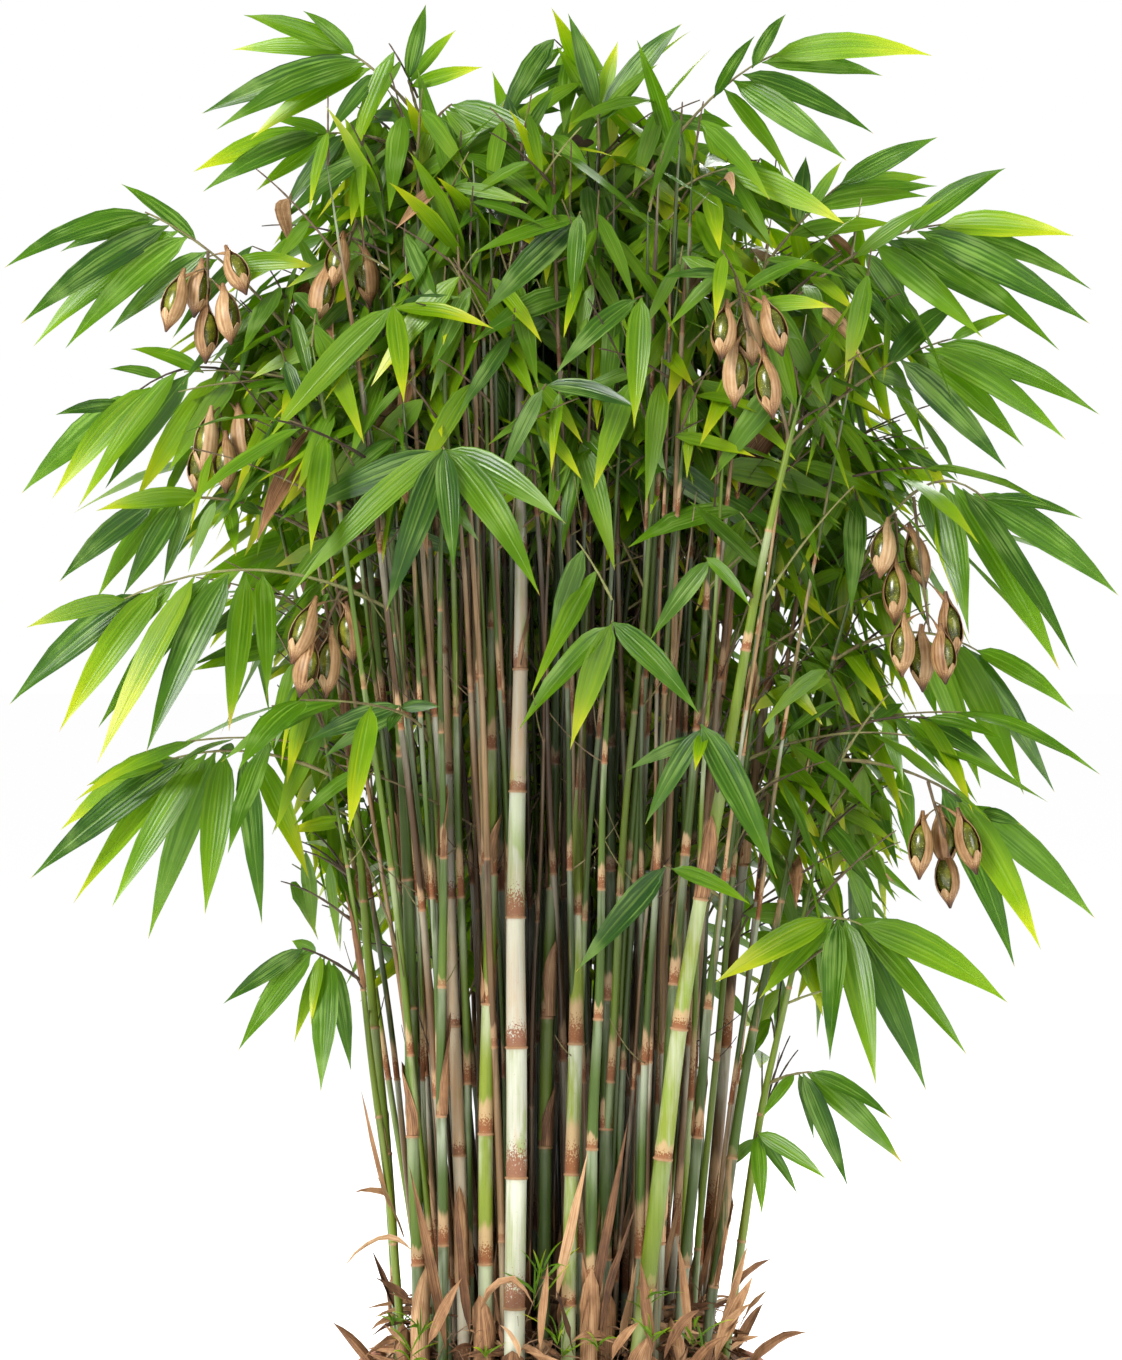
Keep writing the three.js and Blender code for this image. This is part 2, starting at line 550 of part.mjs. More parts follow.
// A bunch: a stalk hangs from the twig and bears the fruits, each a swollen body that ends in a beak.
function fruitBunch(bunch, curve, forward, grow = 0) {
  const random = randomStream(bunch.spray.length * 31 + bunch.fruits.length);
  const hub = onAxis(curve, twigStations, bunch.along);
  const depthOf = (k) => hub.y - forward + (k % 2 ? 1 : -1) * random(15, 23);
  const middles = bunch.fruits.map(([x, y], k) => seen(x, y, depthOf(k)));
  const centre = middles.reduce((sum, p) => sum.add(p), new THREE.Vector3()).divideScalar(middles.length);
  const end = centre.clone().addScaledVector(up, 0.2 * fruitLength);
  const stalk = stalkRadius + grow;
  const rachis = rachisRadius + grow;
  const parts = [turnedStraight([hub, end], [rachis, rachis], 4)];
  middles.forEach((middle, k) => {
    const way = middle.clone().sub(hub).normalize().lerp(up.clone().negate(), 0.5).normalize();
    const size = fruitLength * random(0.88, 1.08);
    const neck = middle.clone().addScaledVector(way, -0.4 * size);
    const below = (hub.z - neck.z - stalkRise) / (hub.z - end.z);
    const start = hub.clone().lerp(end, Math.min(0.94, Math.max(0.2, below)) - 0.03 * k);
    const belly = middle.clone().addScaledVector(way, 0.05 * size);
    const beak = middle.clone().addScaledVector(way, 0.5 * size + grow);
    parts.push(turnedStraight([start, neck, belly, beak], [stalk, stalk, fruitRadius + grow, 0], 5));
  });
  return wholeOf([wholeOf(parts).subtract(twigSolid(curve, clearGap))]);
}

// A ring of dry mulch between the clump and the rim, with curled blades that stand out of it.
function litterRing(owner) {
  const random = randomStream(23);
  const low = soilEdgeHeight + 3 + clearGap;
  const top = low + litter.thickness;
  const parts = [turned([
    [litter.inner, low], [litter.outer, low], [litter.outer - 3, top], [litter.inner + 4, top - 2],
    [litter.inner, low],
  ])];
  for (let k = 0; k < litter.blades; k += 1) {
    const turn = (2 * Math.PI * (k + random(-0.3, 0.3))) / litter.blades;
    const outward = new THREE.Vector3(Math.cos(turn), Math.sin(turn), 0);
    const root = outward.clone().multiplyScalar((litter.inner + litter.outer) / 2).setZ(top - 6);
    const heading = outward.clone().applyAxisAngle(up, random(-0.9, 0.9));
    const length = litter.length * random(0.7, 1.3);
    const rise = random(0.15, 0.8) * length;
    const tip = root.clone().addScaledVector(heading, 0.75 * length).addScaledVector(up, rise);
    const leaf = { root, tip, lift: random(12, 34), width: litter.width * random(0.8, 1.2),
      across: bladeAcross(root, tip, outward.clone().add(up), 0) };
    if (isClear(owner, blade(leaf, clearGap))) parts.push(blade(leaf));
  }
  return wholeOf(parts);
}

// The largest body of a union, without any scrap that a cut left loose.
function wholeOf(parts) {
  const joined = wasm.Manifold.union(parts);
  const bodies = joined.decompose().sort((a, b) => b.volume() - a.volume());
  return bodies.length > 1 ? bodies[0] : joined;
}

const colours = {
  clay: { color: 0xa9613f, roughness: 0.85, metalness: 0 },
  earth: { color: 0x3a2a1d, roughness: 1, metalness: 0 },
  straw: { color: 0x9a7350, roughness: 0.9, metalness: 0 },
  waxed: { color: 0xb9c2a8, roughness: 0.6, metalness: 0 },
  leafy: { color: 0x3f7a24, roughness: 0.5, metalness: 0 },
  fruit: { color: 0x8f7d3c, roughness: 0.45, metalness: 0 },
};

function meshOf(name, made, finish) {
  const { vertProperties, triVerts, numProp } = made.getMesh();
  const count = vertProperties.length / numProp;
  const corners = new Float32Array(count * 3);
  for (let i = 0; i < count; i += 1) {
    corners.set(vertProperties.subarray(i * numProp, i * numProp + 3), i * 3);
  }
  const geometry = new THREE.BufferGeometry()
    .setAttribute("position", new THREE.BufferAttribute(corners, 3))
    .setIndex(new THREE.BufferAttribute(new Uint32Array(triVerts), 1));
  geometry.computeVertexNormals();
  const mesh = new THREE.Mesh(geometry, new THREE.MeshStandardMaterial(finish));
  mesh.name = name;
  return mesh;
}

const nameOf = (index) => `leafy_culm_${String(index + 1).padStart(2, "0")}`;

const potBody = pot();
place("pot", potBody);
const culms = listCulms();
const stems = culms.map((culm, index) => [clearCulm(culm, index)]);
const soilBody = soil(culms.map(soilHole));
place("soil", soilBody);
const litterBody = litterRing("litter_ring");
place("litter_ring", litterBody);

// The measured twigs by name, each with the arch that was free.
const twigs = new Map();
for (const spray of sprays) {
  const index = spray.culm - 1;
  const { v0: foot, v2: tip } = culms[index].curve;
  const height = seen(viewMiddle.x, spray.at, spray.to[2]).z;
  const root = onCulm(culms[index], index, (height - foot.z) / (tip.z - foot.z));
  const curve = growTwig(index, { root, end: seen(...spray.to), arch: spray.arch, aside: ahead });
  if (curve) twigs.set(spray.name, { spray, curve });
}

const bunches = fruitBunches.filter((bunch) => twigs.has(bunch.spray)).map((bunch, k) => {
  const name = `fruit_bunch_${k + 1}`;
  const { curve } = twigs.get(bunch.spray);
  const forward = forwards.find((step) => isClear(name, fruitBunch(bunch, curve, step, clearGap)));
  const made = fruitBunch(bunch, curve, forward ?? forwards[0]);
  place(name, made);
  return meshOf(name, made, colours.fruit);
});

for (const { spray, curve } of twigs.values()) growLeaves(spray.culm - 1, measuredLeaves(spray, curve));

culms.forEach((culm, index) => {
  const random = randomStream(1000 + index);
  growLeaves(index, tuftLeaves(culm, index, random));
  const outwards = culm.foot.clone().setZ(0);
  if (culm.front || outwards.length() < roundFrom) return;
  for (const { share, length, rise, leaves } of roundTwigs) {
    const outward = outwards.clone().normalize().applyAxisAngle(up, random(-0.6, 0.6));
    const root = onCulm(culm, index, share + random(-0.06, 0.06));
    const end = root.clone().addScaledVector(outward, length * random(0.8, 1.15)).addScaledVector(up, rise);
    const arch = random(30, 60);
    const curve = growTwig(index, { root, end, arch, aside: squareTo(outward, up) });
    if (curve) growLeaves(index, fannedLeaves(curve, outward, leaves, random));
  }
});

const group = new THREE.Group();
group.add(meshOf("pot", potBody, colours.clay));
group.add(meshOf("soil", soilBody, colours.earth));
group.add(meshOf("litter_ring", litterBody, colours.straw));
stems.forEach((parts, index) => {
  group.add(meshOf(nameOf(index), wholeOf(parts), index ? colours.leafy : colours.waxed));
});
group.add(...bunches);

export default group;
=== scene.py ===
# A potted clump of reed bamboo in fruit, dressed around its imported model. Metres, +Z up, front along -Y.
import functools
import math
import bpy
import bmesh
import numpy as np
from mathutils import Matrix, Quaternion, Vector, noise
from mathutils.kdtree import KDTree


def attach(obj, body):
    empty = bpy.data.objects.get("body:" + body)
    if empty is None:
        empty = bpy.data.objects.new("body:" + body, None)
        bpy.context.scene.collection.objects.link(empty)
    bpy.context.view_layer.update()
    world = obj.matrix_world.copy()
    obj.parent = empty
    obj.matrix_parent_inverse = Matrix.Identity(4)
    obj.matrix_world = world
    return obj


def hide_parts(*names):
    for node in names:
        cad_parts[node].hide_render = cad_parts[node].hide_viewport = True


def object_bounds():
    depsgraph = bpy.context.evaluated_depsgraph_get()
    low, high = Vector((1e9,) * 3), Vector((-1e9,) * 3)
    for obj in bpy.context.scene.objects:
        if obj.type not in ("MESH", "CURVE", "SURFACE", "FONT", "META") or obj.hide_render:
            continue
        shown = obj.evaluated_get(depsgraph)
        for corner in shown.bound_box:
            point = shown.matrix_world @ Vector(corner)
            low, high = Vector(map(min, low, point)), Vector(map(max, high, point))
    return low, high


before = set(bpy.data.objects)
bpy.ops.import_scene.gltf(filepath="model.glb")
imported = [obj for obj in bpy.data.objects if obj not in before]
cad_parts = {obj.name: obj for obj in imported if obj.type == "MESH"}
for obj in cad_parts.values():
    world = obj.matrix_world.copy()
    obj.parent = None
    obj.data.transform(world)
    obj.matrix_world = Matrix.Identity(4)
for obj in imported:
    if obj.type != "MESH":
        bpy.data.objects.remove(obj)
cadLow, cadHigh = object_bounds()
print("frame loaded,", len(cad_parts), "nodes")

# The growth rule works in millimetres and the meshes are written in metres.
mm = 0.001
ahead = Vector((0, 1, 0))
up = Vector((0, 0, 1))

# The view that the clump was measured in: pixels become millimetres at its middle plane.
measuredView = dict(pixel=1.5, middle=(561, 680), eyeHeight=1394, eyeDistance=6000)

# Front culms: foot x and depth, tip x, y and depth, diameter, leaves in the tuft at the tip.
frontCulms = [
  dict(foot=[514, -226], tip=[524, 150, -150], diameter=30, tuft=0),
  dict(foot=[484, -208], tip=[500, 240, -140], diameter=21, tuft=2),
  dict(foot=[466, -168], tip=[418, 98, -70], diameter=19, tuft=0),
  dict(foot=[443, -180], tip=[441, 425, -205], diameter=15, tuft=0),
  dict(foot=[422, -136], tip=[380, 262, -90], diameter=20, tuft=0),
  dict(foot=[404, -50], tip=[300, 330, 0], diameter=15, tuft=0),
  dict(foot=[409, -88], tip=[318, 690, -105], diameter=12, tuft=0),
  dict(foot=[541, -186], tip=[570, 190, -80], diameter=19, tuft=0),
  dict(foot=[567, -224], tip=[600, 122, -60], diameter=21, tuft=0),
  dict(foot=[604, -190], tip=[620, 200, -20], diameter=19, tuft=0),
  dict(foot=[629, -212], tip=[800, 395, -250], diameter=26, tuft=2),
  dict(foot=[648, -196], tip=[738, 290, -120], diameter=17, tuft=0),
  dict(foot=[671, -172], tip=[770, 560, -140], diameter=16, tuft=2),
  dict(foot=[694, -132], tip=[865, 540, -60], diameter=15, tuft=0),
  dict(foot=[715, -76], tip=[850, 730, -110], diameter=13, tuft=0),
  dict(foot=[587, -212], tip=[612, 600, -240], diameter=17, tuft=0),
]

sprays = [
  dict(name="crownLeft", culm=3, at=118, to=[343, 48, -60], arch=20,
    tips=[[243, 15], [232, 50], [304, 14], [201, 114], [216, 130], [249, 141], [326, 138], [366, 118]]),
  dict(name="crownLeftTop", culm=3, at=104, to=[408, 80, -80], arch=6,
    tips=[[426, 4], [456, 30], [483, 67]]),
  dict(name="crownLeftUnder", culm=3, at=140, to=[452, 104, -110], arch=14,
    tips=[[562, 157], [558, 202], [499, 179], [478, 229], [460, 225], [410, 196]]),
  dict(name="secondLeft", culm=3, at=165, to=[312, 135, 20], arch=30,
    tips=[[193, 172], [206, 197], [270, 120], [256, 191], [280, 218], [318, 226], [345, 222],
      [349, 179]]),
  dict(name="fruitLeft", culm=5, at=300, to=[350, 204, -110], arch=14,
    tips=[[331, 236], [389, 150]]),
  dict(name="farLeft", culm=6, at=345, to=[145, 212, -40], arch=50,
    tips=[[4, 268], [60, 252], [21, 324], [33, 347], [65, 349], [118, 181], [104, 329], [133, 309],
      [318, 268]]),
  dict(name="thirdLeft", culm=6, at=440, to=[118, 408, 60], arch=165,
    tips=[[55, 415], [16, 492], [52, 499], [109, 369], [78, 508], [105, 489], [130, 349],
      [134, 503]]),
  dict(name="fourthLeft", culm=6, at=540, to=[150, 503, -60], arch=60,
    tips=[[59, 582], [96, 600], [123, 596], [163, 584], [98, 512], [188, 573], [236, 557],
      [263, 516]]),
  dict(name="fifthLeft", culm=5, at=612, to=[118, 602, -170], arch=110,
    tips=[[29, 628], [9, 705], [59, 732], [73, 700], [97, 764], [98, 728], [146, 753], [229, 732],
      [267, 700]]),
  dict(name="lowLeft", culm=7, at=775, to=[165, 761, -60], arch=50,
    tips=[[86, 786], [55, 832], [30, 879], [73, 904], [112, 907], [148, 940], [205, 915], [218, 750],
      [262, 925], [309, 879]]),
  dict(name="lowestLeft", culm=7, at=985, to=[302, 948, -150], arch=12,
    tips=[[223, 1004], [258, 999], [238, 1051], [290, 942], [311, 1026], [294, 1043], [322, 1090],
      [351, 1071]]),
  dict(name="crownMiddle", culm=9, at=150, to=[598, 112, -70], arch=4,
    tips=[[568, 13], [618, 41], [658, 64], [556, 45], [683, 20]]),
  dict(name="crownGap", culm=1, at=190, to=[522, 142, -110], arch=4,
    tips=[[556, 86], [506, 96], [476, 118], [548, 150]]),
  dict(name="crownRight", culm=10, at=222, to=[776, 54, -50], arch=80,
    tips=[[933, 56], [883, 76], [786, 14], [874, 134], [847, 161], [795, 182], [754, 39], [736, 206],
      [733, 127]]),
  dict(name="secondRight", culm=12, at=315, to=[842, 183, 60], arch=30,
    tips=[[938, 137], [933, 170], [938, 186], [926, 199], [842, 161], [806, 156], [897, 224]]),
  dict(name="farRight", culm=12, at=372, to=[945, 224, -40], arch=90,
    tips=[[1074, 236], [1092, 290], [1090, 324], [1006, 168], [1060, 351], [1028, 326], [983, 338],
      [922, 336], [940, 202], [895, 300], [854, 333]]),
  dict(name="thirdRight", culm=11, at=455, to=[955, 338, 20], arch=50,
    tips=[[1014, 313], [1100, 415], [1066, 440], [1024, 447], [1007, 470], [960, 302], [915, 390]]),
  dict(name="fourthRight", culm=14, at=575, to=[987, 501, -80], arch=150,
    tips=[[1083, 519], [1119, 596], [1078, 668], [1060, 671], [969, 635], [958, 607], [935, 546]]),
  dict(name="fifthRight", culm=14, at=660, to=[980, 652, 10], arch=70,
    tips=[[1074, 712], [1055, 793], [1024, 795], [1012, 750], [981, 789], [938, 720]]),
  dict(name="sixthRight", culm=14, at=745, to=[930, 718, -90], arch=30,
    tips=[[1005, 741], [1003, 771], [978, 804], [940, 768], [904, 786], [906, 703]]),
  dict(name="fruitRight", culm=15, at=760, to=[985, 815, -110], arch=40,
    tips=[[1022, 825], [1098, 920], [1041, 950], [1015, 968]]),
  dict(name="lowRight", culm=15, at=930, to=[862, 925, -170], arch=24,
    tips=[[1008, 1003], [967, 1055], [930, 1095], [945, 950], [876, 1085], [832, 1016], [827, 1057],
      [759, 999], [714, 981]]),
  dict(name="lowerRight", culm=15, at=1085, to=[812, 1072, -110], arch=8,
    tips=[[893, 1120], [903, 1164], [848, 1187], [814, 1140], [761, 1119]]),
  dict(name="lowestRight", culm=15, at=1160, to=[757, 1132, -130], arch=4,
    tips=[[827, 1180], [798, 1195], [762, 1216], [719, 1178]]),
  dict(name="frontFan", culm=4, at=470, to=[444, 449, -330], arch=30,
    tips=[[454, 571], [386, 612], [540, 596], [296, 588], [566, 523], [297, 512]]),
  dict(name="frontLeft", culm=5, at=345, to=[394, 304, -260], arch=30,
    tips=[[404, 404], [268, 440], [494, 329], [461, 297]]),
  dict(name="frontCrown", culm=8, at=265, to=[580, 212, -270], arch=30,
    tips=[[572, 304], [469, 256], [481, 315]]),
  dict(name="frontMiddle", culm=9, at=340, to=[643, 296, -300], arch=30,
    tips=[[634, 429], [555, 375]]),
  dict(name="frontRight", culm=11, at=440, to=[722, 250, -290], arch=60,
    tips=[[715, 324], [667, 329], [658, 279], [813, 259], [835, 308], [800, 340]]),
  dict(name="frontPair", culm=16, at=660, to=[612, 621, -320], arch=20,
    tips=[[699, 714], [570, 750], [517, 732]]),
  dict(name="frontSingle", culm=11, at=800, to=[700, 722, -330], arch=24,
    tips=[[777, 879], [645, 825], [695, 771], [627, 771]]),
  dict(name="frontLow", culm=13, at=905, to=[664, 866, -300], arch=10,
    tips=[[576, 972], [751, 905]]),
  dict(name="innerRight", culm=11, at=600, to=[704, 556, -290], arch=10,
    tips=[[751, 608], [650, 640]]),
  dict(name="innerMiddle", culm=1, at=430, to=[546, 384, -270], arch=10,
    tips=[[640, 410], [500, 480]]),
  dict(name="innerLeft", culm=5, at=745, to=[400, 705, -240], arch=10,
    tips=[[304, 743], [440, 707], [388, 732], [322, 759]]),
]

fruitBunches = [
  dict(spray="farLeft", along=0.6,
    fruits=[[175, 300], [198, 288], [236, 270], [206, 331], [227, 314]]),
  dict(spray="fruitLeft", along=0.8, fruits=[[338, 260], [367, 275], [322, 292]]),
  dict(spray="thirdLeft", along=0.45, fruits=[[207, 441], [200, 464], [226, 462], [242, 438]]),
  dict(spray="fifthLeft", along=0.2, fruits=[[304, 630], [350, 633], [306, 666], [329, 662]]),
  dict(spray="frontRight", along=0.8,
    fruits=[[724, 330], [749, 334], [773, 326], [735, 372], [768, 384]]),
  dict(spray="fourthRight", along=0.3, fruits=[[884, 548], [917, 556], [895, 590]]),
  dict(spray="fourthRight", along=0.44, fruits=[[903, 645], [922, 658], [943, 654], [950, 626]]),
  dict(spray="fruitRight", along=0.6, fruits=[[921, 845], [943, 838], [967, 841], [947, 876]]),
]

# How a front culm is coloured: tone runs from brown through dark green, fresh green and cream to tan,
# bloom is how waxy and scurfy it is, and sheath is how far the dry sheath covers its lowest internode.
frontLooks = [
  dict(tone=0.88, bloom=1.0, sheath=0), dict(tone=0.61, bloom=0.6, sheath=150),
  dict(tone=0.95, bloom=0.55, sheath=0), dict(tone=0.34, bloom=0.5, sheath=0),
  dict(tone=0.36, bloom=0.25, sheath=185), dict(tone=0.5, bloom=0.2, sheath=0),
  dict(tone=0.62, bloom=0.1, sheath=90), dict(tone=0.42, bloom=0.3, sheath=80),
  dict(tone=0.72, bloom=0.8, sheath=0), dict(tone=0.3, bloom=0.5, sheath=150),
  dict(tone=0.66, bloom=0.42, sheath=95), dict(tone=0.26, bloom=0.6, sheath=60),
  dict(tone=0.3, bloom=0.4, sheath=110), dict(tone=0.28, bloom=0.2, sheath=0),
  dict(tone=0.56, bloom=0.15, sheath=0), dict(tone=0.4, bloom=0.65, sheath=190),
]

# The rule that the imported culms, twigs and leaves grow by, in millimetres.
rule = dict(
  culmFoot=285, clumpRadius=236, spacing=36, seats=29, front=-128, spread=(1.75, 2.1), radius=(5, 9.5),
  internode=188, firstRing=201, bend=0.78, taperFrom=0.3, tipShare=0.28, crown=2225, fall=0.0072,
  leafShare=0.19, narrowest=20, widest=46, twigRadius=3.4, twigStations=(0, 0.36, 0.7, 1),
  fruitLength=92, stalkRise=16, roundFrom=140, tuftLength=195,
  roundTwigs=((0.55, 330, 60, 3), (0.78, 280, 90, 3)), leans=(0, 40, -40, 80, -80, 130, -130),
  bows=(0, -45, 45, -90, 90, -135, 135), tones=(0.24, 0.34, 0.12, 0.28, 0.6, 0.04, 0.94, 0.3),
  blooms=(0.45, 0.8, 0.6, 0.95), sheaths=(0, 120, 60, 0, 150),
  swings=(0, 30, -30, 60, -60, 90, -90, 125, -125), forwards=(24, 44, 64, 84, 0, -24, -44),
)


def randomStream(seed):
    state = [seed]

    def draw(low, high):
        state[0] = (state[0] * 1664525 + 1013904223) % 4294967296
        return low + (high - low) * state[0] / 4294967296
    return draw


def seen(x, y, depth):  # a point of the view at a depth behind the clump's middle plane
    scale = measuredView["pixel"] * (measuredView["eyeDistance"] + depth) / measuredView["eyeDistance"]
    middle = measuredView["middle"]
    return Vector(((x - middle[0]) * scale, depth, measuredView["eyeHeight"] + (middle[1] - y) * scale))


def squareTo(direction, hint):
    return direction.cross(hint).normalized()


def flatWay(turn):
    return Vector((math.cos(turn), math.sin(turn), 0))


def atReach(reach, turn, height):
    return Vector((reach * math.cos(turn), reach * math.sin(turn), height))


def arc(curve, t):  # a quadratic curve of three points
    a, b, c = curve
    return a * (1 - t) ** 2 + b * (2 * t * (1 - t)) + c * t * t


def onAxis(curve, stations, along):
    k = max(1, next(i for i, t in enumerate(stations) if t >= along))
    low, high = stations[k - 1], stations[k]
    return arc(curve, low).lerp(arc(curve, high), (along - low) / (high - low))


def archOf(root, end, arch, aside, bow):
    return root, (root + end) / 2 + up * arch + aside * bow, end


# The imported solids' corners, which tell how far each culm, twig and leaf was moved to come clear.
def cornerTree(node):
    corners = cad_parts[node].data.vertices
    tree = KDTree(len(corners))
    for vertex in corners:
        tree.insert(vertex.co / mm, vertex.index)
    tree.balance()
    return tree


def awayFrom(tree, point):
    return tree.find(point)[2]


def nodeName(index):
    return f"leafy_culm_{index + 1:02d}"


def listCulms():
    random = randomStream(7)
    culms = []
    for row, look in zip(frontCulms, frontLooks):
        foot = seen(row["foot"][0], measuredView["middle"][1], row["foot"][1])
        foot.z = rule["culmFoot"]
        culms.append(dict(foot=foot, tip=seen(*row["tip"]), radius=row["diameter"] / 2, tuft=row["tuft"],
                          front=True, **look))
    for k in range(rule["seats"]):
        reach = rule["clumpRadius"] * math.sqrt((k + 0.5) / rule["seats"])
        turn = k * math.pi * (3 - math.sqrt(5))
        foot = atReach(reach, turn, rule["culmFoot"])
        spread = random(*rule["spread"])
        height = rule["crown"] - rule["fall"] * reach * reach + random(-110, 70)
        radius = random(*rule["radius"])
        if foot.y < rule["front"] or any((other["foot"] - foot).length < rule["spacing"] for other in culms):
            continue
        tip = foot * spread
        tip.z = height
        tone, bloom, sheath = (rule[look][k % len(rule[look])] for look in ("tones", "blooms", "sheaths"))
        culms.append(dict(foot=foot, tip=tip, radius=radius, tuft=2, front=False, tone=tone, bloom=bloom,
                          sheath=sheath))
    for index, culm in enumerate(culms):
        culm["index"] = index
        culm["tree"] = cornerTree(nodeName(index))
        foot = culm["foot"]
        aside = ahead if culm["front"] else squareTo(Vector((foot.x, foot.y, 0)), up)
        tries = [culm["tip"] + aside * lean for lean in rule["leans"]]
        tip = min(tries, key=lambda tried: awayFrom(culm["tree"], tried))
        middle = foot.lerp(tip, 0.3)
        middle.z = (foot.z + tip.z) / 2
        culm["curve"] = (foot, middle, tip)
        culm["height"] = tip.z - foot.z
        culm["leaves"] = []
        culm["twigs"] = []
    return culms


def ringHeights(culm):  # above the foot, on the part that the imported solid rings
    spacing = rule["internode"] * (1 if culm["front"] else 1.5)
    first = rule["firstRing"] + (culm["index"] * 61) % 97
    heights = [first + k * spacing for k in range(4 if culm["front"] else 2)]
    return [h for h in heights if h / culm["height"] < rule["bend"] - 0.08], spacing


def onCulm(culm, share):
    rings, _ = ringHeights(culm)
    stations = [0, *[h / culm["height"] for h in rings], rule["bend"], 1]
    return onAxis(culm["curve"], stations, min(0.985, share))


def culmRadius(culm, t):
    past = max(0, t - rule["taperFrom"])
    narrowed = (1 - culm.get("tipShare", rule["tipShare"])) * past / (1 - rule["taperFrom"])
    return culm["radius"] * (1 - narrowed)


def bladeAcross(root, tip, facing, roll):
    along = (tip - root).normalized()
    across = squareTo(along, facing)
    across.rotate(Quaternion(along, roll))
    return across


def leafWidth(root, tip, share):
    return min(rule["widest"], max(rule["narrowest"], (tip - root).length * rule["leafShare"])) * share


def growTwig(culm, root, end, arch, aside):
    def gap(curve):
        return max(awayFrom(culm["tree"], arc(curve, t)) for t in rule["twigStations"][1:3])
    tries = [archOf(root, end, arch, aside, bow) for bow in rule["bows"]]
    best = min(tries, key=gap)
    if gap(best) > rule["twigRadius"] + 1:
        return None
    culm["twigs"].append(dict(curve=best, radius=rule["twigRadius"] * 0.8))
    return best


def growLeaves(culm, leaves, kind):
    for leaf in leaves:
        tries = [leaf["tip"] + leaf["aside"] * swing for swing in rule["swings"]]
        near = [tip for tip in tries if awayFrom(culm["tree"], tip) < 0.6]
        culm["leaves"].append({**leaf, "tip": near[0] if near else leaf["tip"], "kind": kind})


def measuredLeaves(spray, curve):
    random = randomStream(len(spray["name"]) * 977 + spray["to"][0])
    facing = Vector((0, -1, 0.3))
    leaves = []
    for k, (x, y) in enumerate(spray["tips"]):
        root = onAxis(curve, rule["twigStations"], 0.97 - 0.55 * k / max(6, len(spray["tips"])))
        side = 1 if k % 2 else -1
        forth = random(15, 55)
        tip = seen(x, y, spray["to"][2] + side * forth - random(0, 30))
        roll = random(-0.5, 0.5)
        width = leafWidth(root, tip, random(0.9, 1.1))
        lift = random(0.05, 0.14) * (tip - root).length
        leaves.append(dict(root=root, tip=tip, lift=lift, width=width, aside=ahead,
                           across=bladeAcross(root, tip, facing, roll)))
    return leaves


def wayOut(outward, sideways, turn, fall):
    flat = outward * math.cos(turn) + sideways * math.sin(turn)
    return flat * math.cos(fall) - up * math.sin(fall)


def fannedLeaves(curve, outward, count, random):
    sideways = squareTo(outward, up)
    leaves = []
    for k in range(count):
        root = onAxis(curve, rule["twigStations"], 0.97 - 0.5 * k / count)
        fall = random(0.1, 0.5) + 0.9 * k / count
        turn = (1 if k % 2 else -1) * (random(0.3, 0.9) if k else random(0, 0.2))
        tip = root + wayOut(outward, sideways, turn, fall) * random(190, 250)
        roll = random(-0.35, 0.35)
        lift = random(12, 30)
        width = leafWidth(root, tip, random(0.9, 1.1))
        leaves.append(dict(root=root, tip=tip, lift=lift, width=width, aside=sideways,
                           across=bladeAcross(root, tip, outward + up, roll)))
    return leaves


def tuftLeaves(culm, random):
    root = onCulm(culm, 1)
    leaves = []
    for k in range(culm["tuft"]):
        turn = 2 * math.pi * k / culm["tuft"] + random(0, 6.28)
        rise = random(0.5, 1.2)
        outward = flatWay(turn)
        reach = rule["tuftLength"] * random(0.87, 1.13) * math.cos(rise)
        tip = root + outward * reach + up * (rule["tuftLength"] * math.sin(rise))
        lift = random(15, 35)
        leaves.append(dict(root=root, tip=tip, lift=lift, width=leafWidth(root, tip, 1),
                           across=bladeAcross(root, tip, outward - up, 0), aside=squareTo(outward, up)))
    return leaves


def growRoundTwigs(culm, random):
    foot = culm["foot"]
    outwards = Vector((foot.x, foot.y, 0))
    if culm["front"] or outwards.length < rule["roundFrom"]:
        return
    for share, length, rise, count in rule["roundTwigs"]:
        outward = outwards.normalized()
        outward.rotate(Quaternion(up, random(-0.6, 0.6)))
        root = onCulm(culm, share + random(-0.06, 0.06))
        end = root + outward * (length * random(0.8, 1.15)) + up * rise
        arch = random(30, 60)
        curve = growTwig(culm, root, end, arch, squareTo(outward, up))
        if curve:
            growLeaves(culm, fannedLeaves(curve, outward, count, random), "round")


culms = listCulms()
twigCurves = {}
for spray in sprays:
    culm = culms[spray["culm"] - 1]
    foot, _, tip = culm["curve"]
    height = seen(measuredView["middle"][0], spray["at"], spray["to"][2]).z
    root = onCulm(culm, (height - foot.z) / (tip.z - foot.z))
    curve = growTwig(culm, root, seen(*spray["to"]), spray["arch"], ahead)
    if curve:
        twigCurves[spray["name"]] = curve
        growLeaves(culm, measuredLeaves(spray, curve), "measured")
for culm in culms:
    random = randomStream(1000 + culm["index"])
    growLeaves(culm, tuftLeaves(culm, random), "tuft")
    growRoundTwigs(culm, random)
print("rule grown:", len(culms), "culms,", len(twigCurves), "measured twigs,",
      sum(len(culm["leaves"]) for culm in culms), "leaves")


# Every piece is gathered as shapes that bmesh operators made, each laid along its own curve.
def newPiece(name, slot, finishes, *nodes):
    return dict(name=name, slot=slot, finishes=finishes, nodes=nodes, count=0,
                points=[], loops=[], totals=[], finish=[], marks=[], spots=[])


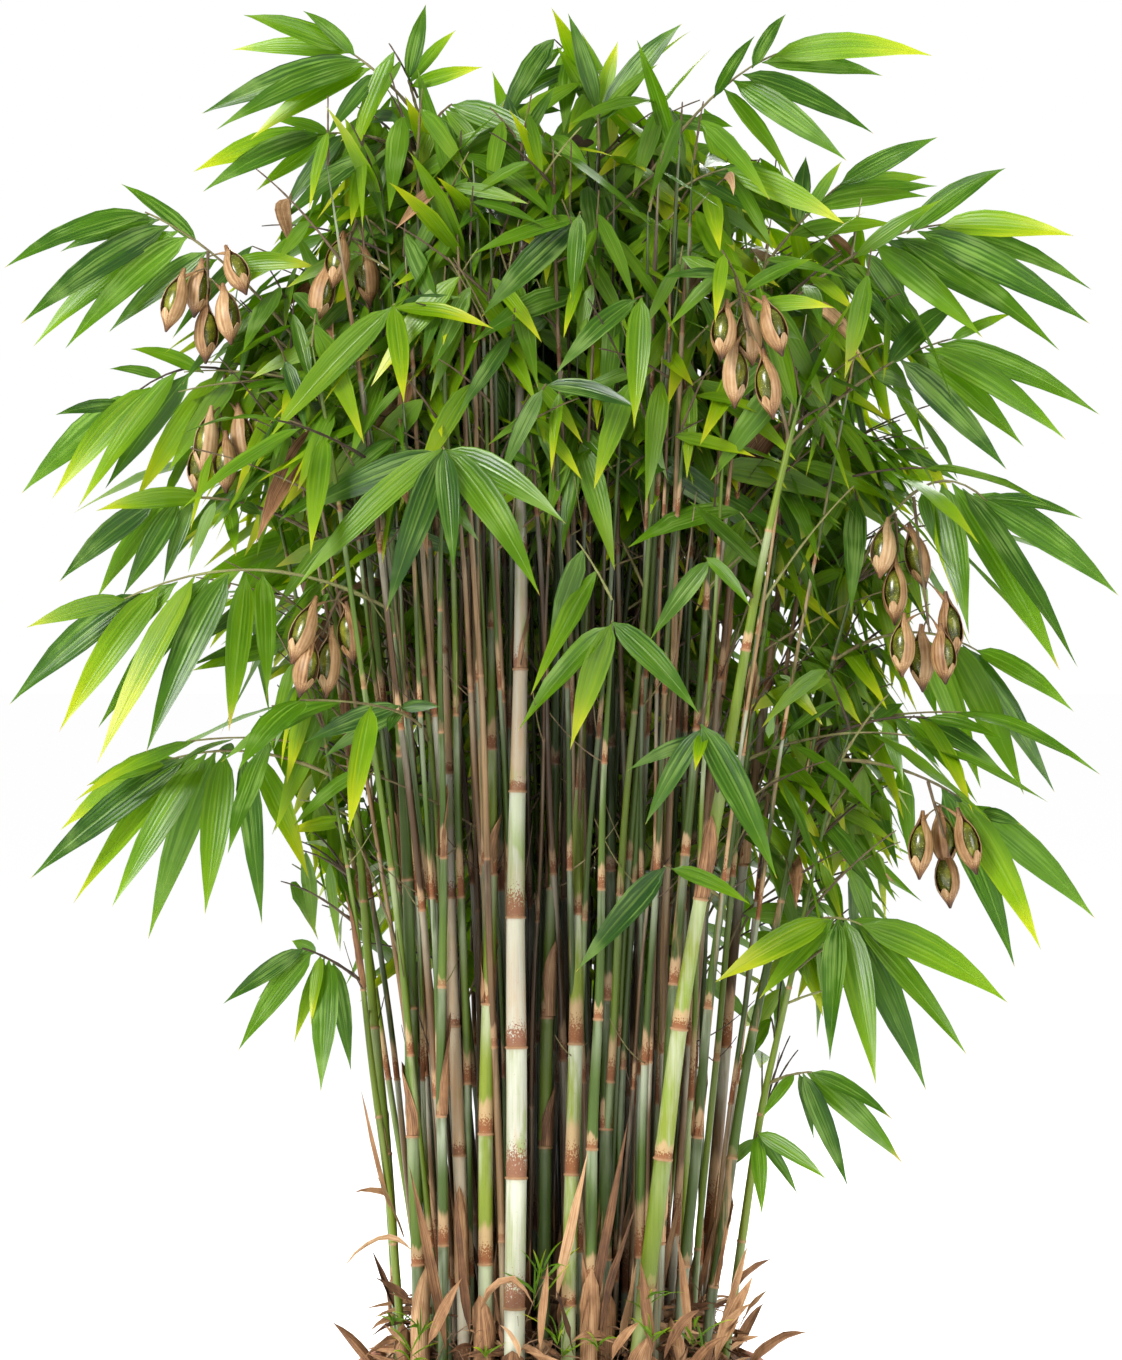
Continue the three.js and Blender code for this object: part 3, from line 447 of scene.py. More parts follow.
def addShape(piece, shape, points, finish, spots, tone=0.5, along=0.0, mark=0.0, bloom=0.0):
    marks = np.empty((len(points), 4))
    for column, value in enumerate((tone, along, mark, bloom)):
        marks[:, column] = value
    piece["points"].append(points * mm)
    piece["loops"].append(shape["loops"] + piece["count"])
    piece["totals"].append(shape["totals"])
    piece["finish"].append(np.full(len(shape["totals"]), piece["finishes"].index(finish)))
    piece["marks"].append(marks)
    piece["spots"].append(spots)
    piece["count"] += len(points)


def asObject(name, data):
    made = bpy.data.objects.new(name, data)
    bpy.context.scene.collection.objects.link(made)
    return made


def dressed(name, mesh, finishes, nodes, smoothTo):
    mesh.polygons.foreach_set("use_smooth", np.ones(len(mesh.polygons), bool))
    mesh.set_sharp_from_angle(angle=math.radians(smoothTo))
    for material in finishes:
        mesh.materials.append(material)
    made = asObject(name, mesh)
    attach(made, "root")
    if nodes:
        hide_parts(*nodes)
    return made


def finishPiece(piece):
    points, loops, totals, finish, marks, spots = (
        np.concatenate(piece[key]) for key in ("points", "loops", "totals", "finish", "marks", "spots"))
    mesh = bpy.data.meshes.new(piece["name"])
    mesh.vertices.add(len(points))
    mesh.vertices.foreach_set("co", points.astype(np.float32).ravel())
    mesh.loops.add(len(loops))
    mesh.loops.foreach_set("vertex_index", loops.astype(np.int32))
    mesh.polygons.add(len(totals))
    starts = np.concatenate([[0], np.cumsum(totals)[:-1]])
    mesh.polygons.foreach_set("loop_start", starts.astype(np.int32))
    mesh.polygons.foreach_set("material_index", finish.astype(np.int32))
    mesh.update(calc_edges=True)
    for column, name in enumerate(("tone", "along", "mark", "bloom")):
        values = mesh.attributes.new(name, "FLOAT", "POINT")
        values.data.foreach_set("value", marks[:, column].astype(np.float32))
    spotLayer = mesh.uv_layers.new(name="surfaceSpot")
    spotLayer.data.foreach_set("uv", spots[loops].astype(np.float32).ravel())
    dressed(piece["name"], mesh, piece["finishes"], piece["nodes"], 58)


def meshOf(name, bm):
    mesh = bpy.data.meshes.new(name)
    bm.to_mesh(mesh)
    bm.free()
    return mesh


def shapeOf(bm):  # a bmesh as arrays, with its faces turned outwards
    bmesh.ops.recalc_face_normals(bm, faces=bm.faces[:])
    bm.verts.index_update()
    shape = dict(points=np.array([vertex.co[:] for vertex in bm.verts]),
                 loops=np.array([vertex.index for face in bm.faces for vertex in face.verts]),
                 totals=np.array([len(face.verts) for face in bm.faces]))
    bm.free()
    return shape


# A closed thin blade: x runs across from -1 to 1, y from the root to the tip, and z is -1 on its underside.
@functools.cache
def bladeShape(segments, stations):
    bm = bmesh.new()
    rows = len(stations) - 1
    bmesh.ops.create_grid(bm, x_segments=segments, y_segments=rows, size=1)
    for vertex in bm.verts:
        vertex.co.y = stations[round((vertex.co.y + 1) / 2 * rows)]
    made = bmesh.ops.extrude_face_region(bm, geom=bm.faces[:], use_keep_orig=True)["geom"]
    for vertex in (item for item in made if isinstance(item, bmesh.types.BMVert)):
        isInner = abs(vertex.co.x) < 0.999 and stations[0] < vertex.co.y < stations[-1]
        vertex.co.z = -1 if isInner else 0
    for vertex in bm.verts:
        if vertex.co.y == stations[-1]:
            vertex.co.x = 0
    bmesh.ops.remove_doubles(bm, verts=bm.verts[:], dist=1e-4)
    return shapeOf(bm)


# A closed tube: x and y lie on the unit circle and z counts the rings.
@functools.cache
def tubeShape(rings, sides):
    bm = bmesh.new()
    bmesh.ops.create_circle(bm, cap_ends=True, segments=sides, radius=1)
    edges = bm.edges[:]
    for _ in range(rings - 1):
        made = bmesh.ops.extrude_edge_only(bm, edges=edges)["geom"]
        risen = [item for item in made if isinstance(item, bmesh.types.BMVert)]
        bmesh.ops.translate(bm, vec=(0, 0, 1), verts=risen)
        edges = [item for item in made if isinstance(item, bmesh.types.BMEdge) and item.is_boundary]
    bmesh.ops.contextual_create(bm, geom=edges)
    return shapeOf(bm)


def unit(vectors):
    return vectors / np.maximum(np.linalg.norm(vectors, axis=-1, keepdims=True), 1e-9)


def addTube(piece, points, radii, sides, finish, **marks):
    points, radii = np.array(points, float), np.array(radii, float)
    ways = unit(np.gradient(points, axis=0))
    side = np.array([0.0, 1.0, 0.0]) if abs(ways[0][1]) < 0.8 else np.array([1.0, 0.0, 0.0])
    beside = []
    for way in ways:
        side = unit(side - way * np.dot(side, way))
        beside.append(side)
    beside = np.array(beside)
    across = np.cross(ways, beside)
    shape = tubeShape(len(points), sides)
    x, y, ring = shape["points"][:, 0:1], shape["points"][:, 1:2], np.round(shape["points"][:, 2]).astype(int)
    around = beside[ring] * x + across[ring] * y
    reach = np.concatenate([[0], np.cumsum(np.linalg.norm(np.diff(points, axis=0), axis=1))])
    spots = np.stack([np.arctan2(y[:, 0], x[:, 0]) / (2 * math.pi) + 0.5, reach[ring] * mm], axis=1)
    perRing = {name: value[ring] if isinstance(value, np.ndarray) else value for name, value in marks.items()}
    addShape(piece, shape, points[ring] + around * radii[ring][:, None], finish, spots, **perRing)


def alongArc(curve, t):  # an array of points of a quadratic curve
    a, b, c = (np.array(point[:]) for point in curve)
    t = np.asarray(t)[:, None]
    return a * (1 - t) ** 2 + b * (2 * t * (1 - t)) + c * t * t


# What a reed bamboo's leaf looks like in outline and in section.
leafForm = dict(
  stations=(0, 0.045, 0.12, 0.22, 0.34, 0.48, 0.64, 0.8, 0.92, 1), across=4,
  plainStations=(0, 0.07, 0.2, 0.38, 0.6, 0.82, 1), plainAcross=2,
  outlineAt=(0, 0.03, 0.07, 0.13, 0.2, 0.3, 0.4, 0.52, 0.66, 0.8, 0.92, 1),
  outline=(0.04, 0.06, 0.4, 0.7, 0.88, 0.99, 1, 0.94, 0.74, 0.43, 0.13, 0),
  thickness=0.5, midrib=0.7, fold=0.16, wave=0.09,
)


def addBlade(piece, leaf, finish, tone, dry=0.0, plain=False, fold=None, wave=None, twist=0.0, curl=0.0):
    form = leafForm
    shape = bladeShape(form["plainAcross"], form["plainStations"]) if plain else \
        bladeShape(form["across"], form["stations"])
    u, v, under = shape["points"].T
    root, tip = np.array(leaf["root"][:]), np.array(leaf["tip"][:])
    length = np.linalg.norm(tip - root)
    middle = (root + tip) / 2 + np.array([0, 0, leaf["lift"]])
    place = alongArc((root, middle, tip), v)
    way = unit(2 * (1 - v)[:, None] * (middle - root) + 2 * v[:, None] * (tip - middle))
    across = np.broadcast_to(np.array(leaf["across"][:]), way.shape)
    across = unit(across - way * np.sum(across * way, axis=1, keepdims=True))
    over = np.cross(across, way)
    turn = (twist * v)[:, None]
    across, over = across * np.cos(turn) + over * np.sin(turn), over * np.cos(turn) - across * np.sin(turn)
    half = leaf["width"] / 2 * np.interp(v, form["outlineAt"], form["outline"])
    fold = form["fold"] if fold is None else fold
    wave = form["wave"] if wave is None else wave
    ripple = np.sin(v * 13 + length) * (u > 0) + np.sin(v * 11 + length * 1.7) * (u < 0)
    height = half * np.abs(u) * (fold + wave * ripple) + curl * half * u * u
    rib = form["midrib"] * (np.abs(u) < 0.1) * (1 - v)
    section = under * np.minimum(half, form["thickness"] * (1 - u * u) + rib)
    place = place + across * (u * half)[:, None] + over * (height + section)[:, None]
    spots = np.stack([(u + 1) / 2, v], axis=1)
    addShape(piece, shape, place, finish, spots, tone=tone, along=dry, mark=-under, bloom=length * mm)


# Finishes. Each pattern follows the piece's own place, its leaf spots or the marks kept on its corners.
class Value:  # an output in a finish's node tree that sums can be done with
    def __init__(self, tree, socket):
        self.tree, self.socket = tree, socket

    def __add__(self, other):
        return calc("ADD", self, other)

    def __sub__(self, other):
        return calc("SUBTRACT", self, other)

    def __rsub__(self, other):
        return calc("SUBTRACT", other, self)

    def __mul__(self, other):
        return calc("MULTIPLY", self, other)

    def held(self):  # the same value, kept between 0 and 1
        self.socket.node.use_clamp = True
        return self


def newFinish(name):
    material = bpy.data.materials.new(name)
    material.use_nodes = True
    material.node_tree.nodes.clear()
    return material, material.node_tree


def node(tree, kind, inputs=(), output=0, **settings):
    made = tree.nodes.new("ShaderNode" + kind)
    for name, value in settings.items():
        setattr(made, name, value)
    for name, value in dict(inputs).items():
        if isinstance(value, Value):
            tree.links.new(value.socket, made.inputs[name])
        else:
            made.inputs[name].default_value = value
    return Value(tree, made.outputs[output]) if len(made.outputs) else made


def treeOf(*values):
    return next(value.tree for value in values if isinstance(value, Value))


def calc(operation, a, b=0.0):
    return node(treeOf(a, b), "Math", {0: a, 1: b}, operation=operation)


def step(value, low, high):  # 0 below low, 1 above high, smooth between
    return node(value.tree, "MapRange", {"Value": value, "From Min": low, "From Max": high}, "Result",
                interpolation_type="SMOOTHSTEP")


def spanned(value, low, high):  # low where the value is 0, high where it is 1
    return node(value.tree, "MapRange", {"Value": value, "To Min": low, "To Max": high}, "Result")


def mixed(share, a, b, how="MIX"):
    first, second = (colour if isinstance(colour, Value) else (*colour, 1) for colour in (a, b))
    inputs = {0: share, 6: first, 7: second}
    return node(treeOf(share, a, b), "Mix", inputs, 2, data_type="RGBA", blend_type=how)


def coloured(value, stops):  # a colour for each value, smoothly between the stops
    ramp = node(value.tree, "ValToRGB", {"Fac": value}, "Color")
    elements = ramp.socket.node.color_ramp.elements
    elements[0].position, elements[0].color = stops[0][0], (*stops[0][1], 1)
    elements[1].position, elements[1].color = stops[-1][0], (*stops[-1][1], 1)
    for position, colour in stops[1:-1]:
        elements.new(position).color = (*colour, 1)
    return ramp


def partsOf(vector):
    outputs = node(vector.tree, "SeparateXYZ", {0: vector}).socket.node.outputs
    return [Value(vector.tree, socket) for socket in outputs]


def placeOf(tree):
    return node(tree, "TexCoord", output="Object")


def spotOf(tree):  # across and along a blade, or around and along a stem
    return partsOf(node(tree, "UVMap", output="UV", uv_map="surfaceSpot"))[:2]


def marksOf(tree, *names):
    return [node(tree, "Attribute", output="Fac", attribute_name=name) for name in names]


def cloud(tree, size, detail=3.0, stretch=(1, 1, 1), roughness=0.55):  # size in features a metre
    place = node(tree, "Mapping", {"Vector": placeOf(tree), "Scale": stretch})
    inputs = {"Vector": place, "Scale": size, "Detail": detail, "Roughness": roughness}
    return node(tree, "TexNoise", inputs, "Fac")


def strandsAt(x, y, z, detail):
    place = node(x.tree, "CombineXYZ", {0: x, 1: y, 2: z})
    return node(x.tree, "TexNoise", {"Vector": place, "Scale": 1.0, "Detail": detail}, "Fac")


def bumped(height, strength, distance):
    return node(height.tree, "Bump", {"Height": height, "Strength": strength, "Distance": distance}, "Normal")


def closeFinish(tree, shader):
    node(tree, "OutputMaterial", {"Surface": shader})


def surface(tree, colour, roughness, **fixed):
    inputs = {"Base Color": colour, "Roughness": roughness}
    inputs.update({name.replace("_", " "): value for name, value in fixed.items()})
    return node(tree, "BsdfPrincipled", inputs)


# Leaf blades: colours from the darkest tone to the ripest, and how strongly each mark shows; the pale
# grey-green sheen colour is a painted highlight.
leafFinish = dict(
  tones=((0.0, (0.019, 0.064, 0.012)), (0.22, (0.048, 0.13, 0.006)), (0.48, (0.106, 0.225, 0.002)),
         (0.75, (0.22, 0.35, 0.002)), (1.0, (0.48, 0.5, 0.01))),
  midrib=(0.25, 0.38, 0.06), under=(0.16, 0.27, 0.02), dryTip=(0.56, 0.4, 0.08), paintedSheen=(0.3, 0.43, 0.12),
  vein=(0.2, 0.36, 0.05), lit=(0.27, 0.42, 0.002), veins=7, glow=0.5, litShare=0.6,
  # The streaks' tone is partly the blade's own streaky colour and partly painted light and shade of its
  # lengthwise curves.
  patchTone=0.5, streakToneAndShade=0.6, tipTone=0.22, ripeTone=0.42, greenTone=0.2,
  streaksAcross=15, streaksAlong=1.3,
  paintedSheenShare=0.5, underShare=0.55, ribShare=0.34, veinShare=0.3, rough=(0.2, 0.42), bump=0.5, gloss=0.45,
)


def makeLeafFinish():
    form = leafFinish
    material, tree = newFinish("leaf_blade")
    u, v = spotOf(tree)
    tone, dry, under, length = marksOf(tree, "tone", "along", "mark", "bloom")
    patches = cloud(tree, 9, 2)
    broad = 1.0 - step(v, 0.45, 0.9)  # the pattern fades where the blade narrows
    streaks = strandsAt(u * form["streaksAcross"], v * form["streaksAlong"], length * 90, 1.0)
    streaks = (streaks - 0.5) * broad + 0.5
    veins = calc("SINE", u * (2 * math.pi * form["veins"])) * broad
    # The streaks lighten and darken the tone: partly the blade's own streaky colour, partly painted light and
    # shade of its lengthwise curves.
    toneHere = tone + (patches - 0.5) * form["patchTone"] + (streaks - 0.5) * form["streakToneAndShade"]
    toneHere = toneHere + step(v, 0.7, 1.05) * form["tipTone"]
    ripening = step(v, 0.25, 1.0) * form["ripeTone"] - form["greenTone"]
    colour = coloured(toneHere + ripening * step(tone, 0.4, 0.75), form["tones"])
    # Painted sheen: pale grey-green patches along the streaks of the darker blades stand for glossy
    # highlights.
    paintedSheen = step(cloud(tree, 15, 2) + streaks * 0.9, 0.92, 1.2) * (1.0 - step(tone, 0.3, 0.62))
    colour = mixed(paintedSheen * form["paintedSheenShare"], colour, form["paintedSheen"])
    colour = mixed(under * form["underShare"], colour, form["under"])
    rib = 1.0 - step(calc("ABSOLUTE", u - 0.5), 0.012, 0.045)
    colour = mixed(rib * form["ribShare"], colour, form["midrib"])
    veinHere = step(veins, 0.2, 1.0) * step(streaks, 0.35, 0.6)
    colour = mixed(veinHere * form["veinShare"], colour, form["vein"])
    tips = step(v + patches * 0.04, 1.0 - dry * 0.5, 1.02)
    colour = mixed(tips, colour, form["dryTip"])
    normal = bumped(veins * 0.6 + streaks * 1.4 - rib * 1.4, form["bump"], 0.0004)
    rough = spanned(patches, *form["rough"])
    body = surface(tree, colour, rough, Normal=normal, Specular_IOR_Level=form["gloss"])
    glow = node(tree, "BsdfTranslucent", {"Color": mixed(form["litShare"], colour, form["lit"], "ADD")})
    closeFinish(tree, node(tree, "MixShader", {0: form["glow"], 1: body, 2: glow}))
    return material


# Culms: colours from dead brown through green to cream and tan, and what lies on the skin. The clump's
# heart gets painted shade, darkened down to its core shade factor; clumpFoot and clumpSpread say how wide the
# clump is at each height.
culmFinish = dict(
  tones=((0.0, (0.065, 0.034, 0.014)), (0.09, (0.145, 0.082, 0.036)), (0.18, (0.27, 0.17, 0.08)),
         (0.24, (0.034, 0.055, 0.009)), (0.4, (0.06, 0.105, 0.014)), (0.55, (0.11, 0.16, 0.012)),
         (0.72, (0.18, 0.225, 0.02)), (0.86, (0.42, 0.42, 0.34)), (1.0, (0.41, 0.26, 0.13))),
  wax=(0.52, 0.54, 0.42), sheathed=(0.42, 0.265, 0.14), scurf=(0.18, 0.052, 0.014), ring=(0.2, 0.08, 0.026),
  algae=(0.16, 0.25, 0.012), speck=(0.09, 0.045, 0.024), paintedCoreShade=0.2, clumpFoot=0.19, clumpSpread=0.12,
  algaeShare=0.6, waxShare=0.62, sheathShare=0.82, scurfShare=0.9, speckShare=0.4, ringShare=0.85, gloss=0.35,
)


def towardsCore(tree):  # 0 in the heart of the clump, where the light hardly comes, and 1 at its outside
    x, y, z = partsOf(placeOf(tree))
    outside = z * culmFinish["clumpSpread"] + culmFinish["clumpFoot"]
    return step(calc("DIVIDE", calc("SQRT", x * x + y * y), outside), 0.3, 0.92)


def withPaintedShade(colour, paintedCoreShade):  # the same colour under painted shade, darker towards the clump's heart
    shade = spanned(towardsCore(colour.tree), paintedCoreShade, 1.0)
    grey = node(colour.tree, "CombineColor", {0: shade, 1: shade, 2: shade})
    return mixed(1.0, colour, grey, "MULTIPLY")


def makeCulmFinish():
    form = culmFinish
    material, tree = newFinish("culm_skin")
    tone, along, ringed, bloom = marksOf(tree, "tone", "along", "mark", "bloom")
    streaks, lines = cloud(tree, 90, 4, (1, 1, 0.06)), cloud(tree, 420, 3, (1, 1, 0.012))
    blotches = cloud(tree, 22, 3, (1, 1, 0.35))
    grain = cloud(tree, 330, 3, (1, 1, 0.7), roughness=0.7)
    specks = cloud(tree, 420, 3, (1, 1, 0.8), roughness=0.6)
    toneHere = tone + (streaks - 0.5) * 0.22 + (blotches - 0.5) * 0.16 + (lines - 0.5) * 0.14
    colour = coloured(toneHere, form["tones"])
    algae = step(blotches, 0.52, 0.62) * step(tone, 0.55, 0.8)
    colour = mixed(algae * form["algaeShare"], colour, form["algae"])
    powder = step(along, 0.5, 0.95) * (bloom * 1.5)
    powder = (powder * step(streaks + blotches, 0.75, 1.15)).held()
    colour = mixed(powder * form["waxShare"], colour, form["wax"])
    reach = bloom * 0.5
    clasped = 1.0 - step(along + (streaks - 0.5) * 0.3, reach * 0.72, reach)
    clasped = clasped * step(bloom, 0.12, 0.3) * (1.0 - step(tone, 0.76, 0.84))
    colour = mixed(clasped * form["sheathShare"], colour, form["sheathed"])
    low = 1.0 - step(along, 0.0, reach * 0.9)
    scurf = step(low * 0.42 + specks, 0.7, 0.79) * step(bloom, 0.1, 0.3)
    colour = mixed(scurf * form["scurfShare"], colour, form["scurf"])
    colour = mixed(step(grain, 0.66, 0.72) * form["speckShare"], colour, form["speck"])
    colour = mixed(ringed * form["ringShare"], colour, mixed(streaks, form["ring"], form["sheathed"]))
    normal = bumped(streaks * 0.6 + scurf * 0.5 + lines + grain * 0.25, 0.55, 0.0005)
    rough = ((clasped + scurf) * 0.26 + 0.24 + blotches * 0.2).held()
    # Painted shade: the culm colour darkens towards the clump's heart, where light hardly comes.
    closeFinish(tree, surface(tree, withPaintedShade(colour, form["paintedCoreShade"]), rough, Normal=normal,
                              Specular_IOR_Level=form["gloss"]))
    return material


# Twigs, husks, litter and roots: what each is called, its colours, its fibres a metre and how they are
# stretched, how rough it is and how dark its painted shade is in the clump's heart.
woodyFinishes = (
  ("twig_bark", ((0.1, (0.035, 0.022, 0.014)), (0.4, (0.1, 0.06, 0.032)), (0.62, (0.16, 0.15, 0.05)),
                 (0.9, (0.26, 0.3, 0.09))), 160, (1, 1, 0.4), 0.5, 1.0),
  ("dry_litter", ((0.05, (0.036, 0.014, 0.005)), (0.32, (0.135, 0.06, 0.024)), (0.58, (0.3, 0.155, 0.068)),
                  (0.95, (0.55, 0.35, 0.185))), 120, (1, 1, 0.25), 0.6, 0.16),
  ("fruit_husk", ((0.02, (0.036, 0.015, 0.006)), (0.3, (0.15, 0.066, 0.022)), (0.55, (0.3, 0.17, 0.072)),
                  (0.95, (0.52, 0.36, 0.2))), 150, (1, 1, 0.3), 0.38, 1.0),
  ("fine_root", ((0.1, (0.04, 0.022, 0.013)), (0.5, (0.12, 0.064, 0.032)), (0.9, (0.25, 0.15, 0.08))),
   200, (1, 1, 1), 0.7, 0.16),
)
woodyForm = dict(
  lines=110.0, fibreTone=0.45, strandTone=0.8, patchTone=0.5, lineTone=0.07, bump=0.5, gloss=0.35,
)


def makeWoodyFinish(name, tones, size, stretch, rough, paintedCoreShade):
    form = woodyForm
    material, tree = newFinish(name)
    fibres, patches = cloud(tree, size, 4, stretch, roughness=0.65), cloud(tree, size * 0.17, 3)
    tone = marksOf(tree, "tone")[0]
    u, v = spotOf(tree)
    lines = calc("SINE", u * form["lines"])
    strands = strandsAt(u * 15, v * 2, tone * 70, 3.0)
    toneHere = tone + (fibres - 0.5) * form["fibreTone"] + (strands - 0.5) * form["strandTone"]
    toneHere = toneHere + (patches - 0.5) * form["patchTone"] + lines * form["lineTone"]
    normal = bumped(fibres + strands + lines * 0.25, form["bump"], 0.0006)
    # Painted shade: litter and roots darken towards the clump's heart; twigs and husks keep their colour.
    closeFinish(tree, surface(tree, withPaintedShade(coloured(toneHere, tones), paintedCoreShade), (patches * 0.2 + rough).held(),
                              Normal=normal, Specular_IOR_Level=form["gloss"]))
    return material


# The fruit, the pot and the soil: their main colours, and the colour of what lies on them.
smoothFinishes = dict(
  fruit=((0.32, (0.024, 0.03, 0.003)), (0.5, (0.075, 0.085, 0.005)), (0.7, (0.19, 0.19, 0.014))),
  fruitSpeck=(0.45, 0.42, 0.13), fruitEnd=(0.2, 0.1, 0.04),
  clay=((0.25, (0.3, 0.1, 0.045)), (0.5, (0.42, 0.155, 0.07)), (0.75, (0.5, 0.22, 0.12))),
  clayGrain=(0.22, 0.07, 0.03), lime=(0.62, 0.5, 0.4), damp=(0.16, 0.07, 0.035),
  soil=((0.3, (0.012, 0.008, 0.005)), (0.55, (0.04, 0.026, 0.016)), (0.8, (0.13, 0.09, 0.055))),
  soilPatch=(0.07, 0.045, 0.028),
)


def makeFruitFinish():
    form = smoothFinishes
    material, tree = newFinish("green_fruit")
    fine, broad = cloud(tree, 420, 3, roughness=0.7), cloud(tree, 45, 3)
    colour = coloured(broad, form["fruit"])
    colour = mixed(step(fine, 0.58, 0.68) * 0.55, colour, form["fruitSpeck"])
    colour = mixed(step(marksOf(tree, "along")[0], 0.72, 1.0), colour, form["fruitEnd"])
    closeFinish(tree, surface(tree, colour, fine * 0.18 + 0.16, Normal=bumped(fine, 0.12, 0.0004),
                              Specular_IOR_Level=0.6))
    return material


def makeClayFinish():
    form = smoothFinishes
    material, tree = newFinish("terracotta_clay")
    grain, broad = cloud(tree, 260, 5, roughness=0.7), cloud(tree, 5, 4, (1, 1, 0.6))
    turning = cloud(tree, 60, 3, (0.03, 0.03, 1.6))
    colour = coloured(broad, form["clay"])
    colour = mixed(step(grain, 0.5, 0.75) * 0.25, colour, form["clayGrain"])
    colour = mixed(step(broad + grain * 0.35, 0.72, 0.9) * 0.4, colour, form["lime"])
    damp = 1.0 - step(partsOf(placeOf(tree))[2] - broad * 0.12, -0.05, 0.1)
    colour = mixed(damp * 0.4, colour, form["damp"])
    normal = bumped(grain * 0.35 + turning, 0.45, 0.0012)
    closeFinish(tree, surface(tree, colour, (grain * 0.25 + 0.68).held(), Normal=normal))
    return material


def makeSoilFinish():
    form = smoothFinishes
    material, tree = newFinish("potting_soil")
    crumbs, broad = cloud(tree, 180, 6, roughness=0.75), cloud(tree, 22, 4)
    colour = mixed(broad * 0.5, coloured(crumbs, form["soil"]), form["soilPatch"])
    normal = bumped(crumbs + broad * 2.0, 1.0, 0.004)
    closeFinish(tree, surface(tree, colour, (crumbs * 0.2 + 0.8).held(), Normal=normal))
    return material


leafBlade, culmSkin, greenFruit = makeLeafFinish(), makeCulmFinish(), makeFruitFinish()
terracottaClay, pottingSoil = makeClayFinish(), makeSoilFinish()
twigBark, dryLitter, fruitHusk, fineRoot = (makeWoodyFinish(*woody) for woody in woodyFinishes)
print("finishes made")


# Culms: how many sides they have, and the places from one ring to the next where the skin steps. Each
# step is its distance from the ring, how wide the culm is there and how strongly the ring's mark shows.
culmForm = dict(
  thickSides=16, thinSides=10, thickFrom=8, lastRing=70, closerBy=0.97, wander=2.2,
  steps=((-9, 1.0, 0), (-2.6, 1.02, 0.1), (-1.5, 1.1, 1), (0, 1.16, 1), (1.3, 1.1, 1), (2.5, 0.98, 0.3),
         (7, 1.0, 0), (15, 1.035, 0), (36, 1.0, 0)),
  between=(0.36, 0.56, 0.78), pointFrom=0.955, point=0.3,
  below=250, above=220, endClear=4, fading=0.55, bloomGain=1.2, upperFrom=0.45, upperTone=0.35,
  freshTones=(0.5, 0.8),
)


def allRings(culm):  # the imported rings, and the same spacing on up to the leaves
    heights, spacing = ringHeights(culm)
    while heights[-1] + spacing < culm["height"] - culmForm["lastRing"]:
        spacing *= culmForm["closerBy"]
        heights = [*heights, heights[-1] + spacing]
    return heights


def addCulm(piece, culm, finish):
    random = randomStream(300 + culm["index"])
    rings = allRings(culm)
    rows = []  # height above the foot, radius factor, share of the internode, ring mark, internode
    bounds = [rings[0] - culmForm["below"], *rings, rings[-1] + culmForm["above"]]
    for k, ring in enumerate(bounds[1:-1]):
        below, above = bounds[k], bounds[k + 2]
        for offset, factor, ringed in culmForm["steps"]:
            share = (ring + offset - below) / (ring - below) if offset < 0 else offset / (above - ring)
            rows.append((ring + offset, factor, min(1, share), ringed, k if offset < 0 else k + 1))
        rows += [(ring + (above - ring) * share, 1, share, 0, k + 1) for share in culmForm["between"]]
    clear = culmForm["endClear"]
    rows = [row for row in rows if clear < row[0] < culm["height"] - clear]
    rows = [(0, 1, 0.3, 0, 0), *rows, (culm["height"], 1, 0.9, 0, 99)]
    heights, factors, along, ringed = (np.array([row[k] for row in rows], float) for k in range(4))
    tones = {k: (random(-0.08, 0.08), random(0.3, 1.2)) for k in range(len(rings) + 3)}
    fading = 1 - culmForm["fading"] * heights / culm["height"]
    upper = np.clip(heights / culm["height"] - culmForm["upperFrom"], 0, 1)
    toneOf = np.array([tones.get(row[4], (0, 1))[0] for row in rows])
    bloomOf = np.array([tones.get(row[4], (0, 1))[1] for row in rows])
    share = heights / culm["height"]
    points = alongArc(culm["curve"], share)
    sway = random(0, 6)
    points[:, 0] += culmForm["wander"] * np.sin(share * 15 + sway) * np.clip(share * 3, 0, 1)
    radii = np.array([culmRadius(culm, t) for t in share]) * factors
    radii *= np.interp(share, (culmForm["pointFrom"], 1), (1, culmForm["point"]))
    sides = culmForm["thickSides"] if culm["radius"] > culmForm["thickFrom"] else culmForm["thinSides"]
    isFresh = culmForm["freshTones"][0] < culm["tone"] < culmForm["freshTones"][1]
    tone = culm["tone"] + toneOf - upper * culmForm["upperTone"] * isFresh
    bloom = np.clip(culm["bloom"] * bloomOf * fading * culmForm["bloomGain"], 0, 1)
    addTube(piece, points, radii, sides, finish, tone=tone, along=along, mark=ringed, bloom=bloom)


twigForm = dict(sides=6, stations=13, swelling=1.3, endShare=0.42)


def addTwig(piece, twig, finish, tone=0.5):
    t = np.linspace(0, 1, twigForm["stations"])
    radii = twig["radius"] * (1 - (1 - twigForm["endShare"]) * t)
    radii[2::3] *= twigForm["swelling"]
    addTube(piece, alongArc(twig["curve"], t), radii, twigForm["sides"], finish, tone=tone)


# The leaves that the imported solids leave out: short sprays inside the crown, and more on the round twigs.
fillForm = dict(
  frontFrom=0.6, backFrom=0.42, perCulm=12, perFrontCulm=9, leaves=(3, 6), twig=(60, 260),
  steep=(0.2, 1.2), leaf=(105, 210), width=0.188, twigRadius=2, clearFront=60, clearBelow=1560,
  roundLeaves=2, edge=12, spotLeaves=(4, 6), spotShares=(0.45, 0.55, 0.65, 0.75, 0.85, 0.95),
  spotRise=90, bunchDepth=20, frontHalf=330, backFromDepth=40, foremost=-165, thickFrom=1660,
  foremostHigh=-245, foremostEnd=-262, bunchClear=46, bareFrom=110, highest=0.985, outwardBy=420,
)

